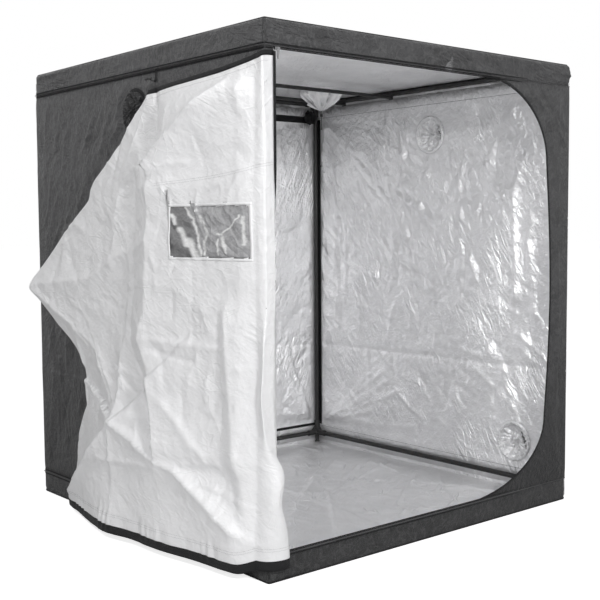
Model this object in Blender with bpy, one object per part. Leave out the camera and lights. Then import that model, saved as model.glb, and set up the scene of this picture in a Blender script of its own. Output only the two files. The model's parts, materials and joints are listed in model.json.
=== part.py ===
"""Indoor grow tent with its door folded open: frame, cover, door, zip and ports.

Metres, +Z up. The origin is the middle of the tent's underside. The doorway
is in the front, at -Y, and the open door lies along the left wall, at -X.
"""
import math

import bmesh
import bpy
from mathutils import Matrix, Vector

# Tent
TENT_WIDTH = 1.760
TENT_DEPTH = 1.760
TENT_HEIGHT = 2.000
ROOF_BAND_HEIGHT = 0.096
BASE_BAND_HEIGHT = 0.100
CLOTH = 0.0012
COVER_EDGE_RADIUS = 0.004
SEAM_GAP = 0.0003
CUT_OVERRUN = 0.010

# Floor mat
MAT_THICKNESS = 0.0010
MAT_FOOT_CLEARANCE = 0.0040

# Frame
TUBE_DIAMETER = 0.0250
TUBE_WALL = 0.0014
FIT = 0.0003
SOCKET_WALL = 0.0026
SOCKET_ROOT = 0.008
SOCKET_STOP = 0.019
SOCKET_DEPTH = 0.050
SOCKET_RIM_LENGTH = 0.007
SOCKET_RIM_STEP = 0.0014
GUSSET_LEG = 0.050
GUSSET_THICKNESS = 0.0040
FOOT_DIAMETER = 0.028
FOOT_FLANGE_HEIGHT = 0.006
FOOT_POST_DIAMETER = 0.020
LOW_RAIL_HEIGHT = 0.060
SWAGE_LENGTH = 0.060
SWAGE_WALL = 0.0012

# Hanging bars
BAR_DIAMETER = 0.0190
BAR_DROP = 0.020
HOOK_WIDTH = 0.030
HOOK_THICKNESS = 0.0020
FRONT_BAR_Y = 0.230
REAR_BAR_Y = 0.600

# Doorway
HINGE_PANEL_WIDTH = 0.040
DOORWAY_SIDE_X = 0.716
DOORWAY_SIDE_BOW = 0.034
DOORWAY_TOP_RUN = 0.440
DOORWAY_TOP_RISE = 0.350
DOORWAY_FOOT_RUN = 0.540
DOORWAY_FOOT_RISE = 0.310

# Zip
ZIP_TAPE_WIDTH = 0.0140
ZIP_TAPE_THICKNESS = 0.0008
ZIP_OVERHANG = 0.0055
ZIP_COIL_WIDTH = 0.0030
ZIP_COIL_THICKNESS = 0.0026
SLIDER_LENGTH = 0.0220
SLIDER_LIP = 0.0030
SLIDER_WALL = 0.0022
SLIDER_NOSE = 0.0036
SLIDER_PARK_GAP = 0.0060
PULL_POST_DIAMETER = 0.0040
PULL_POST_HEAD_DIAMETER = 0.0066
PULL_POST_HEAD_HEIGHT = 0.0010
PULL_LENGTH = 0.0420
PULL_WIDTH = 0.0105
PULL_TAPER = 0.0020
PULL_THICKNESS = 0.0018

# Door flap
FLAP_OVERLAP = 0.020
FLAP_TOP_CLEARANCE = 0.012
FLAP_SAG = 0.065
FLAP_SAG_ONSET = 0.080
FLAP_TIE_RUN = 0.680
FLAP_BOTTOM_STANDOFF = 0.130
FLAP_MIDDLE_STANDOFF = 0.028
FLAP_TIP_STANDOFF = 0.090
FLAP_TOP_STANDOFF = 0.056
FLAP_EDGE_STANDOFF = 0.030
FLAP_ROLL_STANDOFF = 0.024
FLAP_ROLL_ONSET = 0.110
FLAP_RETURN_GAP = 0.014
FLAP_FOLD_NOSE = 0.006
FLAP_MARCH_STEP = 0.010
BRACE_FOLD_HEIGHT = 0.026
BRACE_FOLD_WIDTH = 0.060
VALLEY_FOLD_DEPTH = 0.024
VALLEY_FOLD_WIDTH = 0.055
RIDGE_FOLD_HEIGHT = 0.016
RIDGE_FOLD_WIDTH = 0.050
HEM_FOLD_DEPTH = 0.018
HEM_FOLD_PITCH = 0.420

# Window in the door
WINDOW_NEAR = 0.060
WINDOW_WIDTH = 0.440
WINDOW_DROP = 0.785
WINDOW_HEIGHT = 0.170
ROLL_DIAMETER = 0.016
ROLL_END_INSET = 0.014
ROLL_SETTLE = 0.0075
ROLL_RISE = 0.036
ROLL_TIE_WIDTH = 0.016
ROLL_TIE_THICKNESS = 0.0016
ROLL_TAB_HEIGHT = 0.006
PANE_THICKNESS = 0.0010
PANE_SEAM = 0.0004

# Ports
PORT_DIAMETER = 0.166
UPPER_PORT_Y = -0.024
UPPER_PORT_DROP = 0.252
LOWER_PORT_INSET = 0.297
LOWER_PORT_HEIGHT = 0.228
ROOF_PORT_DIAMETER = 0.220
ROOF_PORT_X = 0.520
ROOF_PORT_Y = 0.420
PORT_RING_WIDTH = 0.014
PORT_RING_THICKNESS = 0.0020
WALL_SLEEVE_REACH = 0.046
ROOF_SLEEVE_REACH = 0.115
SLEEVE_CLOTH = 0.0020
SLEEVE_SEAM = 0.0010

# Drawcord of the roof sleeve and its lock
CORD_DIAMETER = 0.0030
CORD_LENGTH = 0.090
CORD_LOCK_DIAMETER = 0.0140
CORD_LOCK_HEIGHT = 0.0180
CORD_LOCK_DROP = 0.022
CORD_RUNNING_FIT = 0.0003
CORD_LOCK_WAIST_DEPTH = 0.0016

# Door ties
TIE_WIDTH = 0.012
TIE_THICKNESS = 0.0016
TIE_CORD_DIAMETER = 0.0034
TIE_KNOT_DIAMETER = 0.0070
TIE_KNOT_HEIGHT = 0.0035
TOGGLE_DIAMETER = 0.0100
TOGGLE_LENGTH = 0.044
TOGGLE_WAIST_DIAMETER = 0.0076
TOP_TIE_Y = -0.215
TOP_TIE_FALL = 0.044
TOP_TIE_STANDOFF = 0.050
SIDE_TIE_DROP = 1.008
SIDE_TIE_INSET = 0.006
SIDE_TIE_REACH_X = 0.052
SIDE_TIE_REACH_Y = 0.066

# Counts
TUBE_SIDES = 12
SOCKET_SIDES = 12
PORT_SIDES = 32
RING_SIDES = 24
PLEATS = 8
SMALL_SIDES = 12
CORNER_STEPS = 8
SIDE_STEPS = 4
EDGE_SEGMENTS = 2
FLAP_MAIN_COLUMNS = 17
FLAP_RETURN_COLUMNS = 3
FLAP_CORNER_ROWS = 5
FLAP_MIDDLE_ROWS = 10
CORD_SIDE_RESOLUTION = 2
CORD_POINTS = 16
HINGE_COLUMNS = 2
WINDOW_COLUMNS = 4
ROLL_STEPS = 6
SMOOTH_ANGLE_DEG = 35

# Where the edge of the open door falls: share of the tent's height, share of its depth
FLAP_EDGE_SHARES = (
    (0.010, 0.790), (0.060, 0.761), (0.125, 0.733), (0.180, 0.710),
    (0.215, 0.690), (0.265, 0.655), (0.310, 0.664), (0.350, 0.686),
    (0.385, 0.724), (0.420, 0.790), (0.475, 0.885), (0.505, 0.925),
    (0.594, 0.822), (0.663, 0.722), (0.721, 0.650), (0.771, 0.572),
    (0.822, 0.495), (0.864, 0.446), (0.899, 0.375), (0.960, 0.360),
)
# A gathered sleeve from its sewn base to its frill: reach, radius, depth of the pleats
SLEEVE_OUTER_SHARES = (
    (0.00, 1.00, 0.00), (0.22, 0.99, 0.01), (0.50, 0.86, 0.05),
    (0.72, 0.50, 0.12), (0.82, 0.17, 0.16), (1.00, 0.27, 0.30),
)
ROOF_SLEEVE_SHARES = (
    (0.00, 1.00, 0.00), (0.26, 1.02, 0.04), (0.52, 0.90, 0.09),
    (0.74, 0.56, 0.14), (0.86, 0.15, 0.16), (1.00, 0.30, 0.30),
)
# The brace fold runs from the hinge's top down to the middle of the door: row length, height
BRACE_FOLD_SHARES = ((0.000, 0.985), (0.400, 0.800))
VALLEY_FOLD_SHARES = ((0.450, 0.840), (0.440, 0.250))
RIDGE_FOLD_SHARES = ((0.110, 0.620), (0.075, 0.050))
FOLD_END_SHARE = 0.120
BOTTOM_BULGE_SPAN_SHARE = 0.920
BOTTOM_BULGE_SKEW = 1.15
FLAP_MIDDLE_SHARE = 0.5
CORD_LOCK_BAND_SHARE = 0.55
KNOT_FLAT_SHARE = 0.55
TOGGLE_TIP_SHARE = 0.60

HALF_WIDTH = TENT_WIDTH / 2
HALF_DEPTH = TENT_DEPTH / 2
UPRIGHT_JOINT = TENT_HEIGHT / 2
WINDOW_LOW = TENT_HEIGHT - WINDOW_DROP
UPPER_PORT_HEIGHT = TENT_HEIGHT - UPPER_PORT_DROP
LOWER_PORT_Y = -HALF_DEPTH + LOWER_PORT_INSET
SIDE_TIE_HEIGHT = TENT_HEIGHT - SIDE_TIE_DROP
ROOF_BAND_FOOT = TENT_HEIGHT - ROOF_BAND_HEIGHT
WALL_FOOT = BASE_BAND_HEIGHT + SEAM_GAP
WALL_HEAD = ROOF_BAND_FOOT - SEAM_GAP
TUBE_RADIUS = TUBE_DIAMETER / 2
SOCKET_BORE_RADIUS = TUBE_RADIUS + FIT
SOCKET_RADIUS = SOCKET_BORE_RADIUS + SOCKET_WALL
RIM_RADIUS = SOCKET_RADIUS + SOCKET_RIM_STEP
SOCKET_END = SOCKET_STOP + SOCKET_DEPTH
FRAME_X = HALF_WIDTH - CLOTH - SEAM_GAP - RIM_RADIUS
FRAME_Y = HALF_DEPTH - CLOTH - SEAM_GAP - RIM_RADIUS
TOP_RAIL_HEIGHT = TENT_HEIGHT - CLOTH - SEAM_GAP - RIM_RADIUS
MAT_FOOT = CLOTH + SEAM_GAP
MAT_TOP = MAT_FOOT + MAT_THICKNESS
BAR_HEIGHT = TOP_RAIL_HEIGHT - BAR_DROP
DOORWAY_LEFT = -HALF_WIDTH + HINGE_PANEL_WIDTH
HINGE_X = -HALF_WIDTH - SEAM_GAP - CLOTH / 2
HINGE_Y = -HALF_DEPTH - SEAM_GAP - CLOTH / 2
DOOR_HINGE = (HINGE_X, HINGE_Y, TENT_HEIGHT / 2)
ZIP_FACE_Y = -HALF_DEPTH - SEAM_GAP - ZIP_TAPE_THICKNESS / 2
FLAP_LENGTH = DOORWAY_SIDE_X + HALF_WIDTH + FLAP_OVERLAP
FLAP_FOOT = BASE_BAND_HEIGHT
FLAP_HEIGHT = ROOF_BAND_FOOT - FLAP_TOP_CLEARANCE - FLAP_FOOT

BLACK_CLOTH = ("black_woven_cloth", (0.060, 0.060, 0.062), 0.62, 0.0)
LINING = ("reflective_lining", (0.780, 0.785, 0.790), 0.30, 0.55)
STEEL = ("black_coated_steel", (0.022, 0.022, 0.024), 0.38, 0.0)
PLASTIC = ("black_plastic", (0.030, 0.030, 0.032), 0.50, 0.0)
CLEAR = ("clear_vinyl", (0.620, 0.640, 0.650), 0.08, 0.0)
ZIP_NYLON = ("black_zip_nylon", (0.020, 0.020, 0.022), 0.55, 0.0)
ZINC = ("zinc_slider", (0.300, 0.300, 0.305), 0.32, 1.0)
WEBBING = ("black_webbing", (0.026, 0.026, 0.028), 0.75, 0.0)


def clear_scene():
    """Remove whatever the scene holds."""
    for thing in list(bpy.data.objects):
        bpy.data.objects.remove(thing, do_unlink=True)


def material(finish):
    """Return the named material, made the first time it is asked for."""
    name, color, roughness, metallic = finish
    if name in bpy.data.materials:
        return bpy.data.materials[name]
    made = bpy.data.materials.new(name)
    made.use_nodes = True
    shader = made.node_tree.nodes["Principled BSDF"]
    shader.inputs["Base Color"].default_value = (*color, 1.0)
    shader.inputs["Roughness"].default_value = roughness
    shader.inputs["Metallic"].default_value = metallic
    made.diffuse_color = (*color, 1.0)
    return made


def add_object(name, mesh_maker, finishes, place=(0.0, 0.0, 0.0), turn_faces=True):
    """Turn a bmesh into a named object that stands at a place."""
    mesh = bpy.data.meshes.new(name)
    if turn_faces:
        bmesh.ops.recalc_face_normals(mesh_maker, faces=mesh_maker.faces)
    mesh_maker.to_mesh(mesh)
    mesh_maker.free()
    made = bpy.data.objects.new(name, mesh)
    made.location = place
    for finish in finishes:
        mesh.materials.append(material(finish))
    bpy.context.scene.collection.objects.link(made)
    return made


def smooth(thing):
    """Shade round faces smooth and keep the sharp edges."""
    thing.data.shade_smooth()
    thing.data.set_sharp_from_angle(angle=math.radians(SMOOTH_ANGLE_DEG))


def set_origin(thing, point):
    """Put a piece's origin at a point and leave its shape where it is."""
    shift = Vector(point) - thing.location
    thing.data.transform(Matrix.Translation(-shift))
    thing.location = point


def line_inside(thing):
    """Give the faces that look into the tent the lining, and leave the rest black."""
    middle = Vector((0.0, 0.0, TENT_HEIGHT / 2))
    for face in thing.data.polygons:
        outward = face.normal.dot(face.center - middle)
        face.material_index = 0 if outward > 0.0 else 1


def combine(target, tools, operation):
    """Cut or join the tool objects with the target, then drop the tools."""
    for tool in tools:
        step = target.modifiers.new(operation, "BOOLEAN")
        step.operation = operation
        step.solver = "EXACT"
        step.object = tool
    bpy.context.view_layer.update()
    graph = bpy.context.evaluated_depsgraph_get()
    mesh = bpy.data.meshes.new_from_object(target.evaluated_get(graph))
    old = target.data
    target.modifiers.clear()
    target.data = mesh
    mesh.name = target.name
    bpy.data.meshes.remove(old)
    for tool in tools:
        bpy.data.objects.remove(tool, do_unlink=True)


def axis_turn(axis):
    """Return the turn that lays the +Z axis along another direction."""
    return Vector((0.0, 0.0, 1.0)).rotation_difference(Vector(axis)).to_matrix().to_4x4()


def lathe(profile, sides, axis=(0.0, 0.0, 1.0), place=(0.0, 0.0, 0.0)):
    """Turn a closed profile of (radius, height) points round an axis."""
    shape = bmesh.new()
    turn = Matrix.Translation(place) @ axis_turn(axis)
    rings = []
    for radius, height in profile:
        if radius == 0.0:
            rings.append([shape.verts.new(turn @ Vector((0.0, 0.0, height)))] * sides)
            continue
        ring = []
        for side in range(sides):
            angle = math.tau * side / sides
            flat = Vector((radius * math.cos(angle), radius * math.sin(angle), height))
            ring.append(shape.verts.new(turn @ flat))
        rings.append(ring)
    for index, ring in enumerate(rings):
        following = rings[(index + 1) % len(rings)]
        for side in range(sides):
            after = (side + 1) % sides
            corners = [ring[side], ring[after], following[after], following[side]]
            unique = list(dict.fromkeys(corners))
            if len(unique) > 2:
                shape.faces.new(unique)
    return shape


def box(low, high):
    """Return a plain block between two corners."""
    shape = bmesh.new()
    bmesh.ops.create_cube(shape, size=1.0)
    for vertex in shape.verts:
        for index in range(3):
            vertex.co[index] = high[index] if vertex.co[index] > 0.0 else low[index]
    return shape


def prism(outline, start, end, place_point):
    """Extrude an outline between two depths; place_point sets each corner."""
    shape = bmesh.new()
    near = [shape.verts.new(place_point(point, start)) for point in outline]
    far = [shape.verts.new(place_point(point, end)) for point in outline]
    shape.faces.new(near)
    shape.faces.new(list(reversed(far)))
    for index in range(len(outline)):
        after = (index + 1) % len(outline)
        shape.faces.new((near[index], far[index], far[after], near[after]))
    return shape


def arc(centre, radii, start, end, steps):
    """Return the points of an elliptical arc, both ends included."""
    points = []
    for step in range(steps + 1):
        angle = math.radians(start + (end - start) * step / steps)
        across = centre[0] + radii[0] * math.cos(angle)
        up = centre[1] + radii[1] * math.sin(angle)
        points.append((across, up))
    return points


def ramp(value, low, high):
    """Rise smoothly from 0 at low to 1 at high."""
    share = min(max((value - low) / (high - low), 0.0), 1.0)
    return share * share * (3.0 - 2.0 * share)


def tube_profile(radius, wall, start, end):
    """Return the ring-shaped section of an open tube."""
    bore = radius - wall
    return [(radius, start), (radius, end), (bore, end), (bore, start)]


def socket_profile():
    """Return the outside of one socket, from the hub to its moulded rim."""
    rim_start = SOCKET_END - SOCKET_RIM_LENGTH
    return [
        (0.0, SOCKET_ROOT), (SOCKET_RADIUS, SOCKET_ROOT), (SOCKET_RADIUS, rim_start),
        (RIM_RADIUS, rim_start), (RIM_RADIUS, SOCKET_END), (0.0, SOCKET_END),
    ]


def gusset(first, second):
    """Return the triangular web between two sockets."""
    normal = Vector(first).cross(Vector(second))

    def place_point(point, depth):
        return Vector(first) * point[0] + Vector(second) * point[1] + normal * depth

    inset = SOCKET_RADIUS / 2
    outline = [(inset, inset), (GUSSET_LEG, inset), (inset, GUSSET_LEG)]
    return prism(outline, -GUSSET_THICKNESS / 2, GUSSET_THICKNESS / 2, place_point)


def connector_mesh(with_foot):
    """Build the moulded three-way corner whose sockets point along +X, +Y and +Z."""
    axes = [(1.0, 0.0, 0.0), (0.0, 1.0, 0.0), (0.0, 0.0, 1.0)]
    hub = bmesh.new()
    bmesh.ops.create_uvsphere(hub, u_segments=SOCKET_SIDES, v_segments=SOCKET_SIDES // 2,
                              radius=RIM_RADIUS)
    body = add_object("connector_body", hub, [PLASTIC])
    parts = [add_object("socket", lathe(socket_profile(), SOCKET_SIDES, axis), [])
             for axis in axes]
    parts += [add_object("gusset", gusset(axes[a], axes[b]), [])
              for a, b in ((0, 1), (1, 2), (2, 0))]
    if with_foot:
        foot_end = LOW_RAIL_HEIGHT - MAT_FOOT
        flange_start = foot_end - FOOT_FLANGE_HEIGHT
        profile = [
            (0.0, 0.0), (FOOT_POST_DIAMETER / 2, 0.0), (FOOT_POST_DIAMETER / 2, flange_start),
            (FOOT_DIAMETER / 2, flange_start), (FOOT_DIAMETER / 2, foot_end), (0.0, foot_end),
        ]
        down = (0.0, 0.0, -1.0)
        parts.append(add_object("foot", lathe(profile, SOCKET_SIDES, down), []))
    combine(body, parts, "UNION")
    bores = []
    for axis in axes:
        profile = [
            (0.0, SOCKET_STOP), (SOCKET_BORE_RADIUS, SOCKET_STOP),
            (SOCKET_BORE_RADIUS, SOCKET_END + CUT_OVERRUN), (0.0, SOCKET_END + CUT_OVERRUN),
        ]
        bores.append(add_object("bore", lathe(profile, SOCKET_SIDES, axis), []))
    combine(body, bores, "DIFFERENCE")
    mesh = body.data
    bpy.data.objects.remove(body, do_unlink=True)
    return mesh


def make_connectors():
    """Place the eight corner connectors, each turned to face into the tent."""
    corners = {"near": (-1, -1), "left": (-1, 1), "right": (1, -1), "far": (1, 1)}
    for level, height, with_foot in (("bottom", LOW_RAIL_HEIGHT, True),
                                     ("top", TOP_RAIL_HEIGHT, False)):
        pattern = connector_mesh(with_foot)
        upward = 1 if with_foot else -1
        for corner, (side_x, side_y) in corners.items():
            shape = bmesh.new()
            shape.from_mesh(pattern)
            for vertex in shape.verts:
                vertex.co.x *= -side_x
                vertex.co.y *= -side_y
                vertex.co.z *= upward
            if side_x * side_y * upward < 0:
                bmesh.ops.reverse_faces(shape, faces=shape.faces)
            name = f"corner_connector_{level}_{corner}"
            place = (side_x * FRAME_X, side_y * FRAME_Y, height)
            smooth(add_object(name, shape, [PLASTIC], place, turn_faces=False))
        bpy.data.meshes.remove(pattern)


def make_uprights():
    """Stand the four uprights: a lower tube and a swaged upper tube in each."""
    lower_start = LOW_RAIL_HEIGHT + SOCKET_STOP + SEAM_GAP
    upper_end = TOP_RAIL_HEIGHT - SOCKET_STOP - SEAM_GAP
    joint = UPRIGHT_JOINT
    swage_radius = TUBE_RADIUS - TUBE_WALL - FIT
    swage_bore = swage_radius - SWAGE_WALL
    shoulder = joint + SEAM_GAP
    upper = [
        (TUBE_RADIUS, shoulder), (TUBE_RADIUS, upper_end), (swage_bore, upper_end),
        (swage_bore, joint - SWAGE_LENGTH), (swage_radius, joint - SWAGE_LENGTH),
        (swage_radius, shoulder),
    ]
    lower = tube_profile(TUBE_RADIUS, TUBE_WALL, lower_start, joint)
    for corner, side_x, side_y in (("near", -1, -1), ("left", -1, 1),
                                   ("right", 1, -1), ("far", 1, 1)):
        place = (side_x * FRAME_X, side_y * FRAME_Y, 0.0)
        for level, profile in (("lower", lower), ("upper", upper)):
            name = f"upright_{corner}_{level}"
            smooth(add_object(name, lathe(profile, TUBE_SIDES), [STEEL], place))


def make_rails():
    """Lay the four bottom rails and the four top rails between the sockets."""
    stop = SOCKET_STOP + SEAM_GAP
    across = tube_profile(TUBE_RADIUS, TUBE_WALL, -FRAME_X + stop, FRAME_X - stop)
    along = tube_profile(TUBE_RADIUS, TUBE_WALL, -FRAME_Y + stop, FRAME_Y - stop)
    for level, height in (("bottom", LOW_RAIL_HEIGHT), ("top", TOP_RAIL_HEIGHT)):
        for side, sign in (("front", -1), ("back", 1)):
            shape = lathe(across, TUBE_SIDES, (1.0, 0.0, 0.0))
            smooth(add_object(f"rail_{level}_{side}", shape, [STEEL],
                              (0.0, sign * FRAME_Y, height)))
        for side, sign in (("left", -1), ("right", 1)):
            shape = lathe(along, TUBE_SIDES, (0.0, 1.0, 0.0))
            smooth(add_object(f"rail_{level}_{side}", shape, [STEEL],
                              (sign * FRAME_X, 0.0, height)))


def hook_outline():
    """Return the hook's side view round the right-hand rail, from the rail's middle."""
    inner = TUBE_RADIUS + FIT
    outer = inner + HOOK_THICKNESS
    over = arc((0.0, 0.0), (outer, outer), 0.0, 180.0, CORNER_STEPS)
    under = arc((0.0, 0.0), (inner, inner), 180.0, 0.0, CORNER_STEPS)
    foot = -BAR_DROP - BAR_DIAMETER / 2 - HOOK_THICKNESS
    return over + [(-outer, foot), (-inner, foot)] + under


def make_hanging_bar(name, y):
    """Hang one bar across the roof, hooked over the left and the right rail."""
    hook_face = FRAME_X - TUBE_RADIUS - FIT - HOOK_THICKNESS / 2
    profile = [(0.0, -hook_face), (BAR_DIAMETER / 2, -hook_face),
               (BAR_DIAMETER / 2, hook_face), (0.0, hook_face)]
    bar = add_object(name, lathe(profile, TUBE_SIDES, (1.0, 0.0, 0.0)), [STEEL],
                     (0.0, y, BAR_HEIGHT))
    hooks = []
    for sign in (-1, 1):
        def place_point(point, depth, sign=sign):
            return Vector((sign * (FRAME_X + point[0]), y + depth, TOP_RAIL_HEIGHT + point[1]))

        shape = prism(hook_outline(), -HOOK_WIDTH / 2, HOOK_WIDTH / 2, place_point)
        hooks.append(add_object("hook", shape, []))
    combine(bar, hooks, "UNION")
    smooth(bar)


def band_shell(name, low, high, open_top):
    """Build the roof cover or the base cover: a flat sheet with a skirt all round."""
    shape = box((-HALF_WIDTH, -HALF_DEPTH, low), (HALF_WIDTH, HALF_DEPTH, high))
    open_side = max if open_top else min
    height = open_side(face.calc_center_median().z for face in shape.faces)
    for face in list(shape.faces):
        if abs(face.calc_center_median().z - height) < SEAM_GAP:
            bmesh.ops.delete(shape, geom=[face], context="FACES")
    bmesh.ops.recalc_face_normals(shape, faces=shape.faces)
    closed = [edge for edge in shape.edges if len(edge.link_faces) > 1]
    bmesh.ops.bevel(shape, geom=closed, offset=COVER_EDGE_RADIUS, segments=EDGE_SEGMENTS,
                    profile=0.5, affect="EDGES")
    made = add_object(name, shape, [BLACK_CLOTH, LINING])
    wall = made.modifiers.new("cloth", "SOLIDIFY")
    wall.thickness = CLOTH
    wall.offset = -1.0
    wall.use_even_offset = True
    bpy.context.view_layer.update()
    graph = bpy.context.evaluated_depsgraph_get()
    mesh = bpy.data.meshes.new_from_object(made.evaluated_get(graph))
    made.modifiers.clear()
    made.data = mesh
    line_inside(made)
    return made


def round_cutter(radius, axis, place):
    """Return a round cutter that passes through one sheet of cloth."""
    reach = CLOTH + CUT_OVERRUN
    profile = [(0.0, -reach), (radius, -reach), (radius, reach), (0.0, reach)]
    return add_object("port_cut", lathe(profile, PORT_SIDES, axis, place), [])


def make_roof_cover():
    """Make the roof sheet and its skirt, with the round hole of the roof port."""
    roof = band_shell("roof_cover", ROOF_BAND_FOOT, TENT_HEIGHT, False)
    place = (ROOF_PORT_X, ROOF_PORT_Y, TENT_HEIGHT)
    combine(roof, [round_cutter(ROOF_PORT_DIAMETER / 2, (0.0, 0.0, 1.0), place)], "DIFFERENCE")


def make_walls():
    """Make the left, back and right walls; the ports are cut in the side walls."""
    for name, sign, ports in (
            ("wall_left", -1, [(UPPER_PORT_Y, UPPER_PORT_HEIGHT)]),
            ("wall_right", 1, [(UPPER_PORT_Y, UPPER_PORT_HEIGHT),
                               (LOWER_PORT_Y, LOWER_PORT_HEIGHT)])):
        faces = sorted((sign * (HALF_WIDTH - CLOTH), sign * HALF_WIDTH))
        shape = box((faces[0], -HALF_DEPTH, WALL_FOOT), (faces[1], HALF_DEPTH, WALL_HEAD))
        wall = add_object(name, shape, [BLACK_CLOTH, LINING])
        cuts = [round_cutter(PORT_DIAMETER / 2, (sign, 0.0, 0.0), (sign * HALF_WIDTH, y, z))
                for y, z in ports]
        combine(wall, cuts, "DIFFERENCE")
        line_inside(wall)
    inner = HALF_WIDTH - CLOTH - SEAM_GAP
    shape = box((-inner, HALF_DEPTH - CLOTH, WALL_FOOT), (inner, HALF_DEPTH, WALL_HEAD))
    line_inside(add_object("wall_back", shape, [BLACK_CLOTH, LINING]))


def doorway_edge(outset):
    """Return the doorway's edge from the top left round to the bottom left.

    The points are (x, z). The edge lies the given distance outside the cloth's.
    """
    top = WALL_HEAD + outset
    foot = WALL_FOOT - outset
    side = DOORWAY_SIDE_X + outset
    head_centre = (DOORWAY_SIDE_X - DOORWAY_TOP_RUN, WALL_HEAD - DOORWAY_TOP_RISE)
    foot_centre = (DOORWAY_SIDE_X - DOORWAY_FOOT_RUN, WALL_FOOT + DOORWAY_FOOT_RISE)
    head_radii = (DOORWAY_TOP_RUN + outset, DOORWAY_TOP_RISE + outset)
    foot_radii = (DOORWAY_FOOT_RUN + outset, DOORWAY_FOOT_RISE + outset)
    points = [(DOORWAY_LEFT, top)]
    points += arc(head_centre, head_radii, 90.0, 0.0, CORNER_STEPS)
    for step in range(1, SIDE_STEPS):
        share = step / SIDE_STEPS
        height = head_centre[1] + (foot_centre[1] - head_centre[1]) * share
        bow = DOORWAY_SIDE_BOW * math.sin(math.pi * share)
        points.append((side + bow, height))
    points += arc(foot_centre, foot_radii, 0.0, -90.0, CORNER_STEPS)
    points.append((DOORWAY_LEFT, foot))
    return points


def make_front_panels():
    """Make the jamb with the doorway's round corners, and the strip at the hinge."""
    inner = HALF_WIDTH - CLOTH - SEAM_GAP

    def place_point(point, depth):
        return Vector((point[0], -HALF_DEPTH + depth, point[1]))

    curve = doorway_edge(0.0)[1:-1]
    outline = curve + [(inner, WALL_FOOT), (inner, WALL_HEAD)]
    panel = prism(outline, 0.0, CLOTH, place_point)
    line_inside(add_object("front_jamb", panel, [BLACK_CLOTH, LINING]))
    shape = box((-inner, -HALF_DEPTH, WALL_FOOT),
                (DOORWAY_LEFT, -HALF_DEPTH + CLOTH, WALL_HEAD))
    line_inside(add_object("front_hinge_panel", shape, [BLACK_CLOTH, LINING]))


def make_floor_mat():
    """Lay the reflective mat in the base, its corners notched round the frame's feet."""
    side_x = HALF_WIDTH - CLOTH - SEAM_GAP - COVER_EDGE_RADIUS
    side_y = HALF_DEPTH - CLOTH - SEAM_GAP - COVER_EDGE_RADIUS
    notch = FOOT_DIAMETER / 2 + MAT_FOOT_CLEARANCE
    notch_x = FRAME_X - notch
    notch_y = FRAME_Y - notch
    quarter = [(side_x, notch_y), (notch_x, notch_y), (notch_x, side_y)]
    outline = quarter + [(-x, y) for x, y in reversed(quarter)]
    outline += [(-x, -y) for x, y in outline]

    def place_point(point, height):
        return Vector((point[0], point[1], height))

    shape = prism(outline, MAT_FOOT, MAT_TOP, place_point)
    add_object("floor_mat", shape, [LINING])


def make_zip_track():
    """Sew the zip tape and its coil round the doorway, as one swept strip."""
    half_tape = ZIP_TAPE_THICKNESS / 2
    half_coil = ZIP_COIL_THICKNESS / 2
    edge = -ZIP_OVERHANG
    section = [
        (edge + ZIP_TAPE_WIDTH, -half_tape), (edge + ZIP_TAPE_WIDTH, half_tape),
        (edge, half_tape), (edge, half_coil), (edge - ZIP_COIL_WIDTH, half_coil),
        (edge - ZIP_COIL_WIDTH, -half_coil), (edge, -half_coil), (edge, -half_tape),
    ]
    shape = bmesh.new()
    rails = []
    for outset, depth in section:
        rails.append([shape.verts.new((x, ZIP_FACE_Y + depth, z))
                      for x, z in doorway_edge(outset)])
    count = len(rails)
    for index, rail in enumerate(rails):
        following = rails[(index + 1) % count]
        for step in range(len(rail) - 1):
            shape.faces.new((rail[step], rail[step + 1], following[step + 1], following[step]))
    for end in (0, -1):
        shape.faces.new([rail[end] for rail in rails])
    add_object("zip_track", shape, [ZIP_NYLON])


def slider_outline():
    """Return the slider's section round the coil: (into the doorway, outwards)."""
    chamber_near = ZIP_OVERHANG - FIT
    chamber_far = ZIP_OVERHANG + ZIP_COIL_WIDTH + FIT
    chamber = ZIP_COIL_THICKNESS / 2 + FIT
    slit = ZIP_TAPE_THICKNESS / 2 + FIT
    skin = chamber + SLIDER_WALL
    lip = chamber_near - SLIDER_LIP
    nose = chamber_far + SLIDER_NOSE
    return [
        (lip, slit), (chamber_near, slit), (chamber_near, chamber), (chamber_far, chamber),
        (chamber_far, -chamber), (chamber_near, -chamber), (chamber_near, -slit),
        (lip, -slit), (lip, -skin), (nose - FIT, -skin), (nose, -chamber),
        (nose, chamber), (nose - FIT, skin), (lip, skin),
    ]


def make_slider(name, edge_height, inward):
    """Put one zip slider on the straight part of the coil, with its pull's post."""
    start = DOORWAY_LEFT + SLIDER_PARK_GAP
    middle = (start + SLIDER_LENGTH / 2, ZIP_FACE_Y, edge_height)

    def place_point(point, depth):
        return Vector((depth, -point[1], inward * point[0]))

    half = SLIDER_LENGTH / 2
    shape = prism(slider_outline(), -half, half, place_point)
    slider = add_object(name, shape, [ZINC], middle)
    skin = ZIP_COIL_THICKNESS / 2 + FIT + SLIDER_WALL
    post_end = skin + FIT + PULL_THICKNESS + FIT
    head_end = post_end + PULL_POST_HEAD_HEIGHT
    profile = [
        (0.0, skin - SLIDER_WALL / 2), (PULL_POST_DIAMETER / 2, skin - SLIDER_WALL / 2),
        (PULL_POST_DIAMETER / 2, post_end), (PULL_POST_HEAD_DIAMETER / 2, post_end),
        (PULL_POST_HEAD_DIAMETER / 2, head_end), (0.0, head_end),
    ]
    eye = Vector((middle[0], middle[1], edge_height + inward * pull_eye_inset()))
    post = lathe(profile, SMALL_SIDES, (0.0, -1.0, 0.0), eye)
    combine(slider, [add_object("post", post, [])], "UNION")
    slider.data.materials.clear()
    slider.data.materials.append(material(ZINC))
    smooth(slider)
    return eye


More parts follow.
